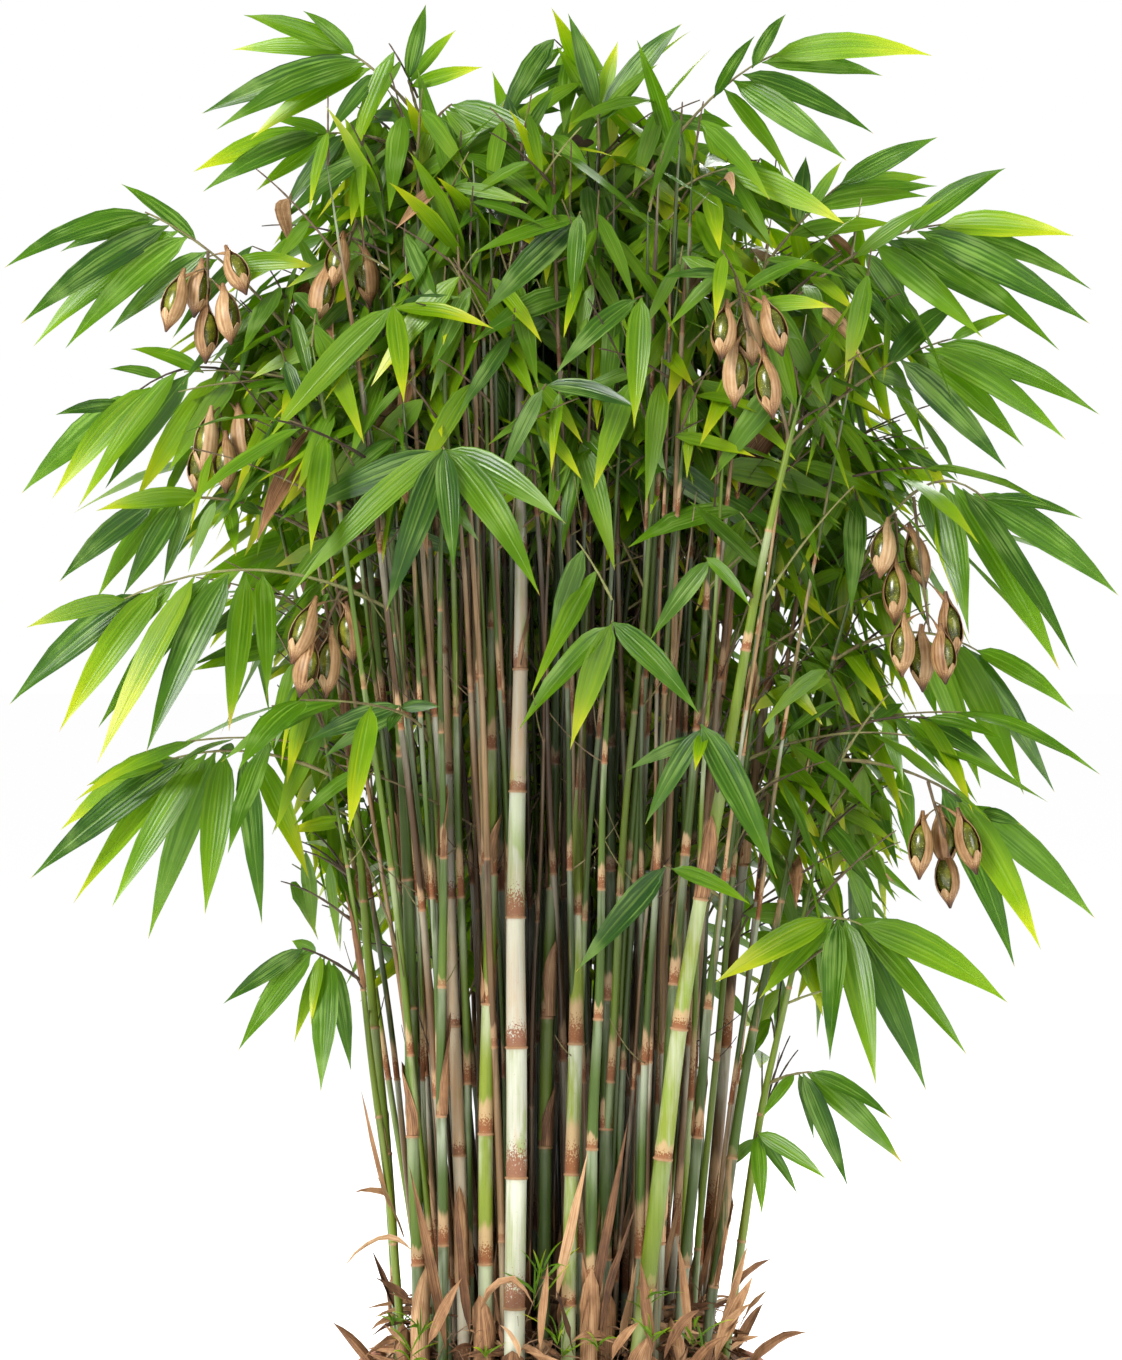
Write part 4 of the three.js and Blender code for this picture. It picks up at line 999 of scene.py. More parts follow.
# Where the view shows a closed crown: its row, and the left and right edge there, in the view's pixels.
crownField = (
  (60, 385, 690), (110, 335, 745), (165, 300, 745), (190, 285, 795), (215, 262, 850), (240, 238, 880),
  (290, 205, 905), (340, 165, 930), (400, 155, 960), (450, 180, 965), (500, 150, 955), (560, 150, 940),
  (620, 110, 940), (665, 150, 935), (700, 270, 925), (760, 262, 920), (820, 262, 915), (850, 275, 925),
  (880, 300, 915), (940, 315, 900), (1000, 345, 870), (1050, 390, 810), (1090, 420, 720),
)

crownGap = (474, 552, 106)  # the open notch in its top: left, right and bottom

# Short sprays inside the crown where the view shows a cluster: column, row and depth of each twig's end.
fillSpots = [
  (250, 372, 40), (300, 352, -20), (228, 408, 90), (322, 398, -60), (286, 318, 60), (340, 345, 120),
  (262, 420, -20), (300, 452, 40), (352, 420, 30), (372, 352, -80), (862, 296, 30), (842, 250, -40),
  (820, 232, 60), (880, 250, 110), (850, 520, 30), (842, 566, -30), (868, 600, 60), (846, 640, 10),
  (820, 500, -80), (872, 470, 90), (900, 420, 20), (836, 420, -60), (800, 460, 60), (440, 150, 40),
  (520, 176, 60), (640, 160, 40), (700, 176, -20), (740, 210, 60), (760, 160, 90), (600, 190, -60),
  (560, 230, -120), (660, 230, -110), (480, 260, -110), (420, 300, -130), (340, 660, 20),
  (360, 720, 60), (330, 590, 90), (820, 700, 60), (800, 760, 100), (840, 800, 40), (830, 860, 90),
  (350, 930, 60), (372, 1000, 100), (820, 940, 60), (276, 300, 20), (252, 340, 80), (228, 372, -10),
  (300, 280, 70), (326, 240, 60), (262, 262, 110), (300, 800, 60), (322, 770, 90), (296, 840, 30),
  (330, 850, 80), (318, 740, 120), (912, 430, 20), (934, 404, 60), (900, 462, 90), (906, 640, 40),
  (930, 604, 80), (868, 650, -10), (884, 690, 60), (846, 716, 20), (866, 750, 90), (846, 776, 50),
  (782, 976, 60), (770, 1016, 90), (790, 1036, 40), (762, 1052, 80), (870, 905, 50), (850, 925, 90),
  (368, 112, -20), (392, 96, 30), (356, 134, 60), (404, 132, 90), (700, 100, 30), (672, 120, 70),
  (850, 230, 20), (838, 262, 90), (870, 630, 110), (900, 570, 60), (404, 180, -40), (380, 160, 40),
  (356, 106, 40), (384, 84, 60), (252, 246, 30), (262, 226, 80), (240, 300, -20), (225, 290, 60),
  (184, 372, 20), (200, 362, 80), (178, 392, -20), (232, 384, -60), (928, 448, -50), (902, 436, -80),
  (925, 510, 20), (910, 560, -40), (928, 540, 70), (850, 780, -40), (862, 802, 40), (896, 782, 20),
  (900, 768, 80), (300, 850, -20), (312, 832, 60), (292, 864, 40), (900, 842, 30), (888, 862, 70),
  (322, 905, 20), (334, 926, 50), (792, 915, -30), (822, 922, 40), (850, 908, 0), (868, 930, 60),
  (780, 1040, 20), (798, 1050, 60), (830, 900, 100), (800, 900, 80),
]


def insideBox(point):
    low, high = cadLow / mm, cadHigh / mm
    edge = fillForm["edge"]
    return all(low[k] + edge < point[k] < high[k] - edge for k in range(3))


def inCrown(point):
    scale = measuredView["pixel"] * (measuredView["eyeDistance"] + point.y) / measuredView["eyeDistance"]
    column = measuredView["middle"][0] + point.x / scale
    row = measuredView["middle"][1] + (measuredView["eyeHeight"] - point.z) / scale
    rows, lefts, rights = zip(*crownField)
    isGap = row < crownGap[2] and crownGap[0] < column < crownGap[1]
    left, right = np.interp(row, rows, lefts), np.interp(row, rows, rights)
    return rows[0] < row < rows[-1] and left < column < right and not isGap


def coversFruit(tip):
    return any((tip - middle).xz.length < fillForm["bunchClear"] and tip.y < middle.y + fillForm["bunchDepth"]
               for middle in fruitMiddles)


def hidesFront(tip):  # keeps the bare culms, the fruits and the nearest leaves open to view
    isForemost = tip.y < fillForm["foremost" if tip.z < fillForm["thickFrom"] else "foremostHigh"]
    isLow = tip.z < fillForm["clearBelow"] and abs(tip.x) < fillForm["frontHalf"]
    coversCulms = isLow and tip.y < fillForm["clearFront"]
    return isForemost or coversCulms or coversFruit(tip)


def fillSpray(culm, root, outward, length, steep, count, random, atEnd=False):
    end = root + outward * (length * math.cos(steep)) + up * (length * math.sin(steep))
    if not insideBox(end):
        return
    curve = archOf(root, end, length * 0.1, up, 0)
    sideways = squareTo(outward, up)
    grown = []
    for k in range(count):
        start = arc(curve, 1 - 0.75 * k / count)
        turn = (1 if k % 2 else -1) * (random(0.35, 1.25) if k else random(0, 0.35))
        way = wayOut(outward, sideways, turn, random(0.1, 1.15) + 0.25 * k / count)
        size = random(*fillForm["leaf"])
        tip = start + way * size
        facing = Vector((tip.x / 500, -1 if tip.y < 60 else 1, random(0.1, 0.9)))
        across = bladeAcross(start, tip, facing, random(-0.75, 0.75))
        lift = random(0.04, 0.16) * size
        width = size * fillForm["width"] * random(0.9, 1.15)
        # Leaves behind the clump's middle take the back tones, which are lighter and yellower as painted
        # backlight.
        leaf = dict(root=start, tip=tip, lift=lift, width=width, across=across,
                    kind="back" if tip.y > fillForm["backFromDepth"] else "fill")
        if atEnd:
            isOpen = tip.y > fillForm["foremostEnd"] and not coversFruit(tip)
        else:
            isOpen = not hidesFront(tip) and not hidesFront(start.lerp(tip, 0.5))
        if insideBox(tip) and inCrown(tip) and isOpen:
            grown.append(leaf)
    isBare = inCrown(end) and not hidesFront(end) and length > fillForm["bareFrom"]
    if grown or isBare:
        culm["twigs"].append(dict(curve=curve, radius=fillForm["twigRadius"]))
        culm["leaves"] += grown


def fillCrown(culm):
    random = randomStream(5000 + culm["index"])
    low = fillForm["frontFrom"] if culm["front"] else fillForm["backFrom"]
    sprays = fillForm["perFrontCulm" if culm["front"] else "perCulm"]
    for k in range(sprays):
        share = low + (fillForm["highest"] - low) * (k + random(0, 1)) / sprays
        root = arc(culm["curve"], share)
        turn = random(0, 2 * math.pi)
        outward = flatWay(turn) + Vector((root.x, root.y, 0)) / fillForm["outwardBy"]
        outward.normalize()
        count = int(random(fillForm["leaves"][0], fillForm["leaves"][1] + 0.99))
        fillSpray(culm, root, outward, random(*fillForm["twig"]), random(*fillForm["steep"]), count, random)


# Bare side twigs that stand out from the rings of a culm's upper part.
sideForm = dict(share=(0.34, 0.86), chance=0.5, length=(45, 150), steep=(0.5, 1.25), bend=0.16, radius=1.1)


def growSideTwigs(culm):
    random = randomStream(3000 + culm["index"])
    for ring in allRings(culm):
        share = ring / culm["height"]
        turn, draw = random(0, 2 * math.pi), random(0, 1)
        length, steep = random(*sideForm["length"]), random(*sideForm["steep"])
        if draw > sideForm["chance"] or not sideForm["share"][0] < share < sideForm["share"][1]:
            continue
        root = arc(culm["curve"], share)
        way = Vector((math.cos(turn) * math.cos(steep), math.sin(turn) * math.cos(steep), math.sin(steep)))
        end = root + way * length
        if inCrown(end) and insideBox(end) and not coversFruit(end):
            curve = archOf(root, end, -sideForm["bend"] * length, up, 0)
            culm["twigs"].append(dict(curve=curve, radius=sideForm["radius"]))


# How long and how steep a culm's leafy end is, and how many leaves it has.
endForm = dict(length=(50, 110), steep=(0.8, 1.35), leaves=4)


def leafyEnd(culm):
    random = randomStream(6000 + culm["index"])
    turn = random(0, 2 * math.pi)
    outward = flatWay(turn)
    fillSpray(culm, arc(culm["curve"], 1), outward, random(*endForm["length"]), random(*endForm["steep"]),
              endForm["leaves"], random, atEnd=True)


# Where the middle of each fruit bunch lies.
fruitMiddles = []
for bunch in fruitBunches:
    hub = onAxis(twigCurves[bunch["spray"]], rule["twigStations"], bunch["along"])
    column, row = np.mean(bunch["fruits"], axis=0)
    fruitMiddles += [seen(x, y, hub.y - 24) for x, y in (*bunch["fruits"], (column, row))]


def farFrom(end, point):  # how unlikely it is that a spray that ends here starts there
    return (end - point).length + abs(end.z - point.z - fillForm["spotRise"])


def fillSpot(spot, random):  # a spray that ends at a spot of the view, from the nearest culm
    end = seen(*spot)
    _, culm, share = min((farFrom(end, arc(culm["curve"], share)), culm["index"], share)
                         for culm in culms for share in fillForm["spotShares"])
    root = arc(culms[culm]["curve"], share)
    way = end - root
    flat = Vector((way.x, way.y, 0))
    count = int(random(fillForm["spotLeaves"][0], fillForm["spotLeaves"][1] + 0.99))
    fillSpray(culms[culm], root, flat.normalized(), way.length, math.atan2(way.z, flat.length), count, random)


def fillTwigs(culm):  # more leaves along each packed twig, shorter than the outer ones
    random = randomStream(7000 + culm["index"])
    for twig in list(culm["twigs"]):
        if twig["radius"] < 2 or culm["front"]:
            continue
        root, _, end = twig["curve"]
        outward = Vector((end.x - root.x, end.y - root.y, 0)).normalized()
        if outward.length < 0.5:
            continue
        for k in range(fillForm["roundLeaves"]):
            start = arc(twig["curve"], random(0.35, 0.95))
            away = outward.copy()
            away.rotate(Quaternion(up, (1 if k % 2 else -1) * random(0.2, 1.1)))
            fillSpray(culm, start, away, random(40, 120), random(-0.5, 0.5), 2, random)


# How green to ripe each kind of leaf is, with the back leaves painted lighter and yellower as painted
# backlight, and the share painted as sunlit, drying at its tip or dead.
leafTones = dict(
  measured=(0.03, 0.58), tuft=(0.3, 0.8), round=(0.15, 0.75), fill=(0.12, 0.8), back=(0.35, 0.95),
  sunlit=0.14, sunlitTones=(0.62, 0.86), dryTips=0.06, dead=0.025,
)
leafBend = dict(twist=(-0.35, 0.35), fold=(0.04, 0.2), curl=(-0.1, 0.14))


def bent(bend, random):  # how much one blade folds, waves, twists and curls
    return {name: random(*span) for name, span in bend.items()}


def addLeaf(piece, leaf, random):
    low, high = leafTones[leaf["kind"]]
    tone = random(low, high)
    if random(0, 1) < leafTones["sunlit"]:
        tone = random(*leafTones["sunlitTones"])
    dry = random(0, 0.05) + (random(0.05, 0.3) if random(0, 1) < leafTones["dryTips"] else 0)
    isPlain = leaf["kind"] in ("fill", "back")
    if random(0, 1) < leafTones["dead"] and isPlain:
        addBlade(piece, leaf, dryLitter, random(0.3, 0.8), fold=0.7, twist=random(-1.5, 1.5), curl=0.3)
        return
    addBlade(piece, leaf, leafBlade, tone, dry, plain=isPlain, **bent(leafBend, random))


for culm in culms:
    fillTwigs(culm)
    fillCrown(culm)
    leafyEnd(culm)
    growSideTwigs(culm)
random = randomStream(31)
for spot in fillSpots:
    fillSpot(spot, random)
for culm in culms:
    index = culm["index"]
    random = randomStream(9000 + index)
    piece = newPiece(f"culm_{index + 1:02d}_and_leaves", "foliage" if index else "culm",
                     [culmSkin, twigBark, leafBlade, dryLitter], nodeName(index))
    addCulm(piece, culm, culmSkin)
    for twig in culm["twigs"]:
        addTwig(piece, twig, twigBark, random(0.1, 0.7))
    for leaf in culm["leaves"]:
        addLeaf(piece, leaf, random)
    finishPiece(piece)
print("culms dressed,", sum(len(culm["leaves"]) for culm in culms), "leaves")


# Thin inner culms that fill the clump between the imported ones.
innerForm = dict(
  count=150, radius=(3.2, 7), spacing=12, height=(1640, 2190), spread=(1.55, 2.05), reach=220,
  tipShare=0.5, tones=(0.05, 0.32, 0.17, 0.5, 0.1, 0.4, 0.13, 0.6, 0.18, 0.46, 0.08, 0.3), pieces=4,
  clearBeside=26, foremostTip=-205, lean=95, leanStep=7.3, bloom=(0.3, 1.0), leafyEvery=3,
)


def growInnerCulms():
    random = randomStream(61)
    parts = [newPiece(f"thin_inner_culms_{k + 1}", "foliage", [culmSkin, twigBark, leafBlade, dryLitter])
             for k in range(innerForm["pieces"])]
    feet = [culm["foot"].copy() for culm in culms]
    made = 0
    for _ in range(innerForm["count"] * 4):
        reach = innerForm["reach"] * math.sqrt(random(0.01, 1))
        turn = random(0, 2 * math.pi)
        foot = atReach(reach, turn, rule["culmFoot"])
        spread, height, radius = (random(*innerForm[key]) for key in ("spread", "height", "radius"))
        crowded = any((other - foot).length < innerForm["spacing"] for other in feet)
        crowded = crowded or any(culm["front"] and foot.y < culm["foot"].y + 12 and
                                 abs(foot.x - culm["foot"].x) < innerForm["clearBeside"] for culm in culms)
        if crowded or made == innerForm["count"]:
            continue
        feet.append(foot)
        tip = foot * spread
        tip.x += innerForm["lean"] * math.sin(innerForm["leanStep"] * made)
        tip.y = max(tip.y, innerForm["foremostTip"])
        tip.z = height
        middle = foot.lerp(tip, 0.3)
        middle.z = (foot.z + tip.z) / 2
        inner = dict(foot=foot, tip=tip, curve=(foot, middle, tip), height=height - foot.z, radius=radius,
                     front=False, index=500 + made, tone=innerForm["tones"][made % len(innerForm["tones"])],
                     bloom=random(*innerForm["bloom"]), leaves=[], twigs=[], tipShare=innerForm["tipShare"])
        piece = parts[made % len(parts)]
        addCulm(piece, inner, culmSkin)
        if made % innerForm["leafyEvery"] == 0:
            fillCrown(inner)
        leafyEnd(inner)
        growSideTwigs(inner)
        for twig in inner["twigs"]:
            addTwig(piece, twig, twigBark, random(0.1, 0.6))
        for leaf in inner["leaves"]:
            addLeaf(piece, leaf, random)
        made += 1
    for piece in parts:
        finishPiece(piece)
    print("inner culms made,", made)


growInnerCulms()


# Dry sheaths that clasp the culms, each a blade rolled round its culm and drawn to a point.
sheathForm = dict(
  stations=(0, 0.12, 0.3, 0.5, 0.7, 0.86, 1), segments=10, wrap=2.7, gap=0.6, thickness=0.8, high=26,
  highLength=(80, 150), highClear=260, soilLine=357, ripple=1.1, turnToView=(-2.4, -0.7), second=0.62,
  secondTurn=2.4, lowChance=0.6, lowLength=(40, 85),
)


def addSheath(piece, culm, share, length, heading, tone, swelling, flare):
    form = sheathForm
    shape = bladeShape(form["segments"], form["stations"])
    u, v, under = shape["points"].T
    low = share * culm["height"]
    heights = low + v * length
    place = alongArc(culm["curve"], np.clip(heights / culm["height"], 0, 1))
    place[:, 2] = culm["foot"].z + heights
    narrowing = np.interp(v, (0, 0.25, 0.6, 0.85, 1), (1, 0.95, 0.62, 0.28, 0))
    turn = heading + u * form["wrap"] * narrowing
    base = np.array([culmRadius(culm, h / culm["height"]) for h in heights]) * 1.04 + form["gap"]
    ripple = form["ripple"] * np.sin(u * 7 + v * 9 + share * 40)
    radius = base + culm["radius"] * swelling * (1 - v) ** 2 + flare * v ** 2.2 + ripple
    radius = np.maximum(radius, base) + under * form["thickness"]
    place[:, 0] += radius * np.cos(turn)
    place[:, 1] += radius * np.sin(turn)
    spots = np.stack([(u + 1) / 2, v], axis=1)
    addShape(piece, shape, place, dryLitter, spots, tone=tone)


def makeSheaths():
    random = randomStream(71)
    piece = newPiece("dry_culm_sheaths", "dry_litter", [dryLitter])
    for culm in culms:
        low = (sheathForm["soilLine"] - culm["foot"].z) / culm["height"]
        if culm["sheath"]:
            toView = random(*sheathForm["turnToView"])
            addSheath(piece, culm, low, culm["sheath"], toView, random(0.45, 0.75), 0.5, 12)
            second, behind = culm["sheath"] * sheathForm["second"], toView + sheathForm["secondTurn"]
            addSheath(piece, culm, low, second, behind, random(0.3, 0.6), 0.62, 7)
        elif random(0, 1) < sheathForm["lowChance"]:
            length = random(*sheathForm["lowLength"])
            addSheath(piece, culm, low, length, random(-3, 0), random(0.3, 0.6), 0.6, 8)
        for ring in allRings(culm):
            length = random(*sheathForm["highLength"])
            heading, tone, draw = random(-3.14, 3.14), random(0.3, 0.8), random(0, 100)
            if draw < sheathForm["high"] and ring < culm["height"] - sheathForm["highClear"]:
                addSheath(piece, culm, (ring + 3) / culm["height"], length, heading, tone, 0.03, random(1, 8))
    finishPiece(piece)
    print("sheaths made")


makeSheaths()


# Dry blades at the foot that the view shows: root x, y, tip x, y, depth, width, lift.
dryBlades = [
  (392, 1215, 361, 1090, -95, 11, 6), (405, 1240, 375, 1172, -120, 12, 8),
  (395, 1198, 353, 1193, -90, 10, 14), (413, 1251, 341, 1272, -150, 15, 62),
  (410, 1300, 373, 1277, -160, 14, 6), (408, 1345, 384, 1325, -190, 12, 6),
  (399, 1338, 363, 1360, -150, 14, 22), (715, 1290, 727, 1217, -130, 12, 4),
  (733, 1289, 772, 1258, -110, 17, 6), (722, 1318, 748, 1245, -140, 14, 8),
  (716, 1360, 753, 1276, -180, 26, 10), (722, 1330, 751, 1303, -190, 12, 8),
  (730, 1350, 760, 1336, -170, 12, 5), (480, 1312, 534, 1306, -262, 16, 78),
  (428, 1345, 462, 1278, -240, 17, 14), (470, 1335, 455, 1180, -222, 15, 5),
  (556, 1300, 588, 1150, -236, 16, 6), (600, 1335, 636, 1205, -250, 18, 8),
  (586, 1350, 628, 1120, -215, 15, 6), (652, 1350, 640, 1260, -246, 17, 10),
  (690, 1345, 676, 1232, -205, 14, 8), (446, 1350, 409, 1165, -205, 19, 4),
  (503, 1350, 494, 1288, -262, 15, 10), (540, 1352, 548, 1262, -258, 13, 8),
  (664, 1360, 700, 1310, -250, 18, 30), (574, 1356, 556, 1290, -262, 14, 12),
  (612, 1360, 640, 1322, -264, 15, 18), (395, 1310, 372, 1250, -60, 10, 8),
  (740, 1325, 768, 1290, -80, 11, 12), (520, 1358, 500, 1325, -266, 16, 14),
]

# Fresh shoots at the foot: x, y, depth and height.
greenShoots = [
  (558, 1338, -262, 40), (562, 1345, -255, 30), (645, 1300, -255, 44), (694, 1335, -235, 48),
  (534, 1300, -250, 62), (541, 1276, -248, 46), (652, 1332, -262, 34), (420, 1330, -225, 40),
  (411, 1352, -215, 34), (703, 1350, -240, 36), (486, 1348, -260, 22), (598, 1340, -264, 26),
  (392, 1318, -120, 26),
]

# What lies and stands at the foot: fallen blades, upright ones, roots, strands and the heap that they make.
footForm = dict(
  blades=560, reach=262, length=(55, 170), width=(6, 15), ringBlades=340, ringReach=(252, 285),
  ringLength=(40, 115), roots=760, rootRadius=(0.6, 1.7), rootLength=(50, 190),
  heapAt=(0, 120, 205, 236, 262), heap=(70, 92, 98, 80, 14), uprights=84, uprightLength=(110, 270),
  uprightWidth=(9, 24), uprightReach=(60, 212), uprightEdge=330, strands=260, strandReach=(110, 262),
  strandLength=(60, 190), strandRadius=(0.5, 1.3), edge=300, rootEdge=280, ringEdge=292, rootSides=5,
  rootStations=8, shootBlades=6,
)


# How each fallen blade and each upright one is bent.
fallenBend = dict(fold=(0.1, 0.7), wave=(0.1, 0.35), twist=(-1.8, 1.8), curl=(-0.2, 0.5))
uprightBend = dict(fold=(0.2, 0.9), wave=(0.05, 0.3), twist=(-1.2, 1.2), curl=(-0.2, 0.4))


def soilHeight(reach):  # the packed soil's surface
    return float(np.interp(reach, (0, 258, 292), (385, 357, 354)))


def heapHeight(reach):  # how high the fallen litter and the roots are heaped on the soil
    return float(np.interp(reach, footForm["heapAt"], footForm["heap"]))


def addDryBlade(piece, root, tip, width, lift, random):
    facing = Vector((random(-0.6, 0.6), random(-1, 0.2), random(0.2, 1)))
    across = bladeAcross(root, tip, facing, random(-0.5, 0.5))
    leaf = dict(root=root, tip=tip, lift=lift, width=width, across=across)
    addBlade(piece, leaf, dryLitter, random(0.1, 0.85), **bent(fallenBend, random), plain=random(0, 1) < 0.4)


def layFallenLeaves(random):
    piece = newPiece("fallen_leaves", "dry_litter", [dryLitter])
    for x, y, tipX, tipY, depth, width, lift in dryBlades:
        addDryBlade(piece, seen(x, y, depth), seen(tipX, tipY, depth - 22), width, lift, random)
    for _ in range(footForm["blades"]):
        reach = footForm["reach"] * math.sqrt(random(0.08, 1))
        turn, heading = random(0, 2 * math.pi), random(0, 2 * math.pi)
        rise = random(0, 1) ** 1.6
        layer = soilHeight(reach) + random(0, 1) * heapHeight(reach)
        root = atReach(reach, turn, layer)
        length = random(*footForm["length"])
        climb = length * random(-0.25, 0.75) * rise
        flat = math.sqrt(max(length ** 2 - climb ** 2, 1)) * 0.8
        tip = root + flatWay(heading) * flat + up * climb
        if math.hypot(tip.x, tip.y) < footForm["edge"]:
            addDryBlade(piece, root, tip, random(*footForm["width"]), random(4, 34), random)
    for _ in range(footForm["uprights"]):
        reach, turn = random(*footForm["uprightReach"]), random(0, 2 * math.pi)
        outward = flatWay(turn)
        root = outward * reach + up * (soilHeight(reach) + 0.5 * heapHeight(reach))
        length = random(*footForm["uprightLength"])
        lean = outward * (length * random(0, 0.34))
        tip = root + up * length + lean + Vector((random(-24, 24), random(-24, 24), 0))
        if math.hypot(tip.x, tip.y) < footForm["uprightEdge"]:
            width = random(*footForm["uprightWidth"])
            across = bladeAcross(root, tip, outward, random(-0.7, 0.7))
            leaf = dict(root=root, tip=tip, lift=0, width=width, across=across)
            addBlade(piece, leaf, dryLitter, random(0.25, 0.85), **bent(uprightBend, random))
    finishPiece(piece)


def laySurfaceRoots(random):
    piece = newPiece("surface_roots", "dry_litter", [fineRoot])
    t = np.linspace(0, 1, footForm["rootStations"])
    for _ in range(footForm["roots"]):
        reach = footForm["reach"] * math.sqrt(random(0.05, 1))
        turn, heading = random(0, 6.28), random(0, 6.28)
        layer = soilHeight(reach) + random(0, 1) * heapHeight(reach) - 3
        place = atReach(reach, turn, layer)
        length, lift = random(*footForm["rootLength"]), random(-30, 30)
        phase = random(0, 6)
        way = np.array([math.cos(heading), math.sin(heading), 0])
        sideways = np.array([-way[1], way[0], 0])
        points = np.array(place[:]) + np.outer(t, way) * length * 0.7
        points += np.outer(np.sin(t * random(3, 8) + phase), sideways) * random(4, 16)
        points[:, 2] += lift * np.sin(t * math.pi * random(0.8, 1.5))
        if np.hypot(points[:, 0], points[:, 1]).max() <= footForm["rootEdge"]:
            radii = random(*footForm["rootRadius"]) * (1 - 0.6 * t)
            addTube(piece, points, radii, footForm["rootSides"], fineRoot, tone=random(0.1, 0.9))
    for _ in range(footForm["strands"]):  # fibres that stand out of the heap and droop
        reach, turn, heading = random(*footForm["strandReach"]), random(0, 6.28), random(0, 6.28)
        foot = atReach(reach, turn, soilHeight(reach) + 0.4 * heapHeight(reach))
        length = random(*footForm["strandLength"])
        end = foot + flatWay(heading) * (0.6 * length) + up * (length * random(0, 0.8))
        bend = (foot + end) / 2 + up * (length * random(0.1, 0.7))
        bend = bend + Vector((random(-20, 20), random(-20, 20), 0))
        if math.hypot(end.x, end.y) < footForm["edge"]:
            radii = random(*footForm["strandRadius"]) * (1 - 0.7 * t)
            points = alongArc((foot, bend, end), t)
            addTube(piece, points, radii, footForm["rootSides"], fineRoot, tone=random(0.2, 1.0))
    finishPiece(piece)


def growShoots(random):
    piece = newPiece("green_shoots", "foliage", [leafBlade])
    for x, y, depth, height in greenShoots:
        base = seen(x, y, depth) - up * 18
        for _ in range(footForm["shootBlades"]):
            turn = random(0, 6.28)
            root = base + up * height * random(0, 0.6)
            tip = root + flatWay(turn) * height * random(0.4, 1.5) + up * height * random(0.1, 1.3)
            lift, width = height * random(0.1, 0.5), random(2.5, 5)
            across = bladeAcross(root, tip, Vector((0, -1, 0.4)), random(-1, 1))
            leaf = dict(root=root, tip=tip, lift=lift, width=width, across=across)
            addBlade(piece, leaf, leafBlade, random(0.35, 0.85), plain=True, fold=0.4, twist=random(-1, 1))
    finishPiece(piece)


random = randomStream(83)
layFallenLeaves(random)
laySurfaceRoots(random)
growShoots(random)
print("foot litter, roots and shoots made")


# The mulch ring between the clump and the rim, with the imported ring's curled blades standing out of it.
ringForm = dict(
  inner=270, outer=288, low=357.4, thickness=11, blades=14, length=120, width=17, steps=120, rough=2.4,
)


def makeLitterRing():
    form = ringForm
    piece = newPiece("dry_litter_ring", "dry_litter", [dryLitter, fineRoot], "litter_ring")
    bm = bmesh.new()
    middle, height = (form["inner"] + form["outer"]) / 2, form["thickness"] / 2
    bmesh.ops.create_circle(bm, segments=10, radius=1, matrix=Matrix.Rotation(math.pi / 2, 4, "X"))
    for vertex in bm.verts:
        vertex.co = (middle + vertex.co.x * (form["outer"] - form["inner"]) / 2, 0,
                     form["low"] + height + vertex.co.z * height)
    bmesh.ops.spin(bm, geom=bm.edges[:], cent=(0, 0, 0), axis=(0, 0, 1), angle=2 * math.pi,
                   steps=form["steps"], use_merge=True)
    bmesh.ops.remove_doubles(bm, verts=bm.verts[:], dist=0.01)
    for vertex in bm.verts:
        if vertex.co.z > form["low"] + height:
            vertex.co.z += form["rough"] * noise.noise(vertex.co * 0.07)
    shape = shapeOf(bm)
    place = shape["points"]
    spots = np.stack([np.arctan2(place[:, 1], place[:, 0]), place[:, 2] * mm], axis=1)
    addShape(piece, shape, place, dryLitter, spots, tone=0.2)
    tree = cornerTree("litter_ring")
    random = randomStream(23)
    for k in range(form["blades"]):
        turn = 2 * math.pi * (k + random(-0.3, 0.3)) / form["blades"]
        outward = flatWay(turn)
        root = outward * middle
        root.z = form["low"] + form["thickness"] - 6
        heading = outward.copy()
        heading.rotate(Quaternion(up, random(-0.9, 0.9)))
        length = form["length"] * random(0.7, 1.3)
        rise = random(0.15, 0.8) * length
        tip = root + heading * (0.75 * length) + up * rise
        lift, width = random(12, 34), form["width"] * random(0.8, 1.2)
        if awayFrom(tree, tip) < 1:
            across = bladeAcross(root, tip, outward + up, 0)
            leaf = dict(root=root, tip=tip, lift=lift, width=width, across=across)
            addBlade(piece, leaf, dryLitter, 0.45, fold=0.35, wave=0.2, twist=0.5, curl=0.3)
    random = randomStream(97)
    for _ in range(footForm["ringBlades"]):
        reach, turn = random(*footForm["ringReach"]), random(0, 6.28)
        root = atReach(reach, turn, soilHeight(reach) + random(6, 15))
        heading = turn + random(0.9, 2.2) * (1 if random(0, 1) < 0.5 else -1)
        length = random(*footForm["ringLength"])
        tip = root + flatWay(heading) * length + up * random(-4, 26)
        if math.hypot(tip.x, tip.y) < footForm["ringEdge"]:
            addDryBlade(piece, root, tip, random(6, 15), random(2, 16), random)
    finishPiece(piece)
    print("litter ring made")


makeLitterRing()


